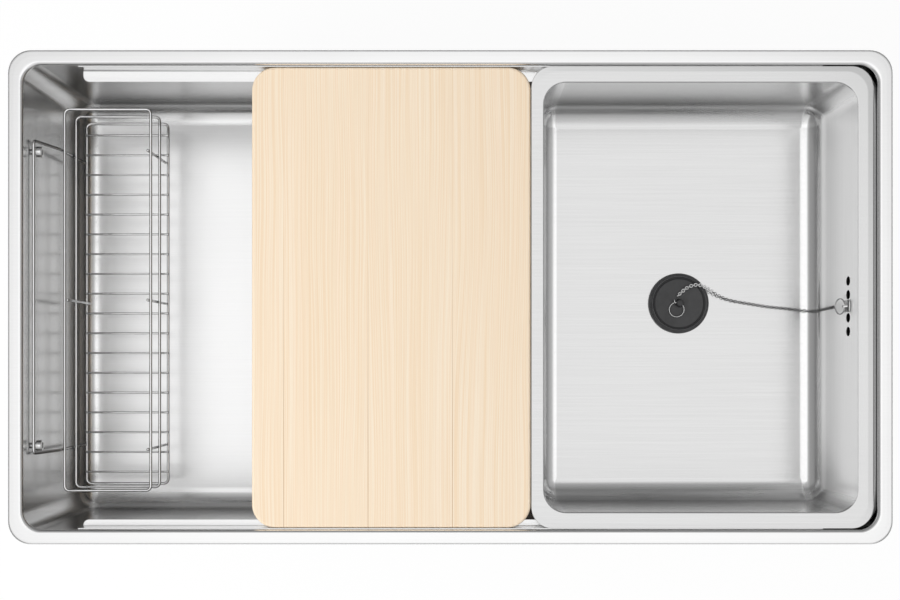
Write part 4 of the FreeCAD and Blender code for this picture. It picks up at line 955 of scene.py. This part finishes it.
def softwood(name):
    """Softwood in staves that run along Y: pale wood, then bands, lines, pores and the joints over it."""
    finish = Finish(name, Roughness=0.62)
    finish.shader.inputs["Specular IOR Level"].default_value = 0.25
    x, y = finish.math("SUBTRACT", finish.part(0, finish.where), JOINT_AT), finish.part(1, finish.where)
    stave = finish.math("FLOOR", finish.math("DIVIDE", x, STAVE))
    over, on = finish.math("MULTIPLY", stave, 0.37), finish.math("MULTIPLY", stave, 1.3)
    offset = finish.add("CombineXYZ", 0, i0=over, i1=on)
    moved = finish.add("VectorMath", 0, operation="ADD", i0=finish.where, i1=offset)
    wave = finish.noise(finish.scaled(11.0, 1.7, 11.0, moved), 1.0, 2.0, 0.5)
    bent = finish.math("ADD", x, finish.math("MULTIPLY", wave, 0.03))
    started = finish.math("ADD", finish.math("MULTIPLY", stave, 3.7), y)
    lines = finish.add("CombineXYZ", 0, i0=bent, i1=started)
    ring = finish.noise(finish.scaled(900.0, 2.5, 1.0, lines), 1.0, 1.0, 0.6)
    band = finish.noise(finish.scaled(150.0, 0.6, 1.0, lines), 1.0, 3.0, 0.7)
    fine = finish.noise(finish.scaled(1500.0, 22.0, 1500.0, moved), 1.0, 3.0, 0.6)
    tone = finish.noise(finish.scaled(9.0, 0.8, 9.0, moved), 1.0, 2.0, 0.5)

    pale = finish.mix(finish.ramp(tone, (0.3, 0.0), (0.7, 1.0)), (0.90, 0.765, 0.605), (0.905, 0.785, 0.625))
    pink = finish.mix(finish.ramp(band, (0.5, 0.0), (0.75, 0.7)), pale, (0.92, 0.735, 0.56))
    warm = finish.mix(finish.ramp(ring, (0.4, 0.0), (0.64, 1.0)), pink, (0.86, 0.685, 0.49))
    pores = finish.mix(finish.ramp(fine, (0.4, 0.0), (0.75, 0.3)), warm, (0.80, 0.62, 0.45))
    beside = finish.math("MULTIPLY", finish.math("PINGPONG", x, STAVE / 2), 1000.0)
    joint = finish.ramp(beside, (0.15, 1.0), (0.45, 0.0))
    front = finish.ramp(finish.line(y, -2.2, 0.5), (0.35, 0.12), (0.8, 0.8))
    finish.feed("Base Color", finish.mix(finish.math("MULTIPLY", joint, front), pores, (0.50, 0.32, 0.18)))
    finish.bump(fine, 0.25, 0.00006)
    return finish.material


WOOD = softwood("board_wood")

# %% [markdown]
# ## Dressing every piece
#
# Each piece takes its finish from the slot that it was given, unless it has a finish of its own.

# %% Finishes on pieces
BY_SLOT = {
    "bowl_steel": BOWL_STEEL, "rail_steel": RAIL_STEEL, "drain_steel": DRAIN_STEEL,
    "polished_wire": WIRE, "plated_steel": PLATED, "board_wood": WOOD, "stopper_rubber": RUBBER,
    "foam_rubber": FOAM, "pad_rubber": PADS, "washer_fibre": FIBRE,
}
OWN = {
    "sub_bowl_skin": TRAY_STEEL, "chain_run_links": CHAIN_PAINTED_DARK, "chain_drape_links": CHAIN_PAINTED_BRIGHT, "studs": STUD,
    "plug": PLUG_RUBBER,
}
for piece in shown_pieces():
    finish = OWN.get(piece.name) or BY_SLOT[piece["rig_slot"]]
    piece.data.materials.clear()
    piece.data.materials.append(finish)

# %% [markdown]
# ## Backdrop
#
# The floor is wide. Seen directly, or in the steel, it is nearly plain white. For all other light it is matt
# paint, so the sink's shadow stays on it. One helper joins a node to those before it.

# %% Floor
GROUND, FLOOR_REACH, PAINT, PLAIN_SHARE = -0.362, 6.0, 0.95, 0.93


def joined(tree, kind, *values, operation=None):
    """The first output of a new node whose inputs are, in order, joined to sockets or set to numbers."""
    node = tree.nodes.new("ShaderNode" + kind)
    if operation:
        node.operation = operation
    for slot, value in zip(node.inputs, values):
        if isinstance(value, bpy.types.NodeSocket):
            tree.links.new(value, slot)
        else:
            slot.default_value = value
    return node.outputs[0]


floor_corners = [(x * FLOOR_REACH, y * FLOOR_REACH, GROUND) for x, y in ((-1, -1), (1, -1), (1, 1), (-1, 1))]
floor_mesh = bpy.data.meshes.new("backdrop")
floor_mesh.from_pydata(floor_corners, [], [(0, 1, 2, 3)])
backdrop = put("backdrop", floor_mesh)

paint = bpy.data.materials.new("backdrop")
paint.use_nodes = True
tree = paint.node_tree
matt = tree.nodes["Principled BSDF"]
matt.inputs["Base Color"].default_value = (PAINT, PAINT, PAINT, 1.0)
matt.inputs["Roughness"].default_value = 0.9
rays = tree.nodes.new("ShaderNodeLightPath").outputs
seen = joined(tree, "Math", rays["Is Camera Ray"], rays["Is Glossy Ray"], operation="MAXIMUM")
seen = joined(tree, "Math", seen, rays["Is Transmission Ray"], operation="MAXIMUM")
share = joined(tree, "Math", seen, PLAIN_SHARE, operation="MULTIPLY")
white = joined(tree, "Emission")
tree.links.new(
    joined(tree, "MixShader", share, matt.outputs[0], white), tree.nodes["Material Output"].inputs["Surface"]
)
floor_mesh.materials.append(paint)
print("the backdrop lies", -GROUND, "m below the worktop")

# %% [markdown]
# ## The sky
#
# The sky is what the steel mirrors. It is brightest overhead, like a large soft box in a ceiling, and greyer
# towards the horizon, which is what shades the walls. One ramp follows how far a direction leans sideways or
# back, another how far it leans to the front, and the two are multiplied.

# %% Sky
SKY_STRENGTH, BACK_PULL = 1.08, 1.15
BOX = [(0.0, 1.0), (0.40, 1.0), (0.50, 0.5), (0.62, 0.4), (0.85, 0.34), (1.0, 0.2)]
FRONT_FADE = [(0.0, 1.0), (0.2, 1.0), (0.47, 0.75), (0.74, 0.62), (0.93, 0.46), (1.0, 0.27)]

world = bpy.data.worlds.new("room")
bpy.context.scene.world = world
world.use_nodes = True
sky = world.node_tree


def sky_math(kind, first, second):
    """One sum in the sky's network."""
    return joined(sky, "Math", first, second, operation=kind)


def sky_ramp(value, stops):
    """A grey ramp through (place, brightness) stops."""
    grey = joined(sky, "ValToRGB", value)
    band = grey.node.color_ramp.elements
    while len(band) < len(stops):
        band.new(0.5)
    for element, (place, bright) in zip(band, stops):
        element.position, element.color = place, (bright, bright, bright, 1.0)
    return grey


way = joined(sky, "SeparateXYZ", sky.nodes.new("ShaderNodeTexCoord").outputs["Generated"]).node.outputs
back = sky_math("MULTIPLY", sky_math("MAXIMUM", way[1], 0.0), BACK_PULL)
front = sky_math("MAXIMUM", sky_math("MULTIPLY", way[1], -1.0), 0.0)
squares = sky_math("ADD", sky_math("MULTIPLY", way[0], way[0]), sky_math("MULTIPLY", back, back))
off_axis = sky_math("POWER", squares, 0.5)
light = joined(sky, "MixRGB", 1.0, sky_ramp(off_axis, BOX), sky_ramp(front, FRONT_FADE))
light.node.blend_type = "MULTIPLY"
sky.links.new(light, sky.nodes["Background"].inputs[0])
sky.nodes["Background"].inputs["Strength"].default_value = SKY_STRENGTH
bpy.context.scene.view_settings.view_transform = "Standard"
print("the sky has", len(sky.nodes), "nodes")

# %% [markdown]
# ## Lamps for the matt surfaces
#
# The wood, the rubber and the matt steel need more light than the sky gives: a weak lamp overhead, and a
# stronger one from the left and the front. Nothing mirrors them, so they leave no bright squares.

# %% Lamps
def area_lamp(name, size, energy, place, turn=(0.0, 0.0, 0.0)):
    """A rectangular lamp, in metres and watts, that nothing mirrors."""
    data = bpy.data.lights.new(name, "AREA")
    data.shape, data.energy = "RECTANGLE", energy
    data.size, data.size_y = size
    lamp = put(name, data)
    lamp.location, lamp.rotation_euler, lamp.visible_glossy = place, turn, False
    print(name, energy, "W")


area_lamp("overhead", (2.4, 1.8), 7.0, (0.0, 0.0, 2.2))
area_lamp("left_front", (1.2, 1.2), 47.0, (-2.0, -0.8, 1.7), (0.32, -0.88, 0.0))
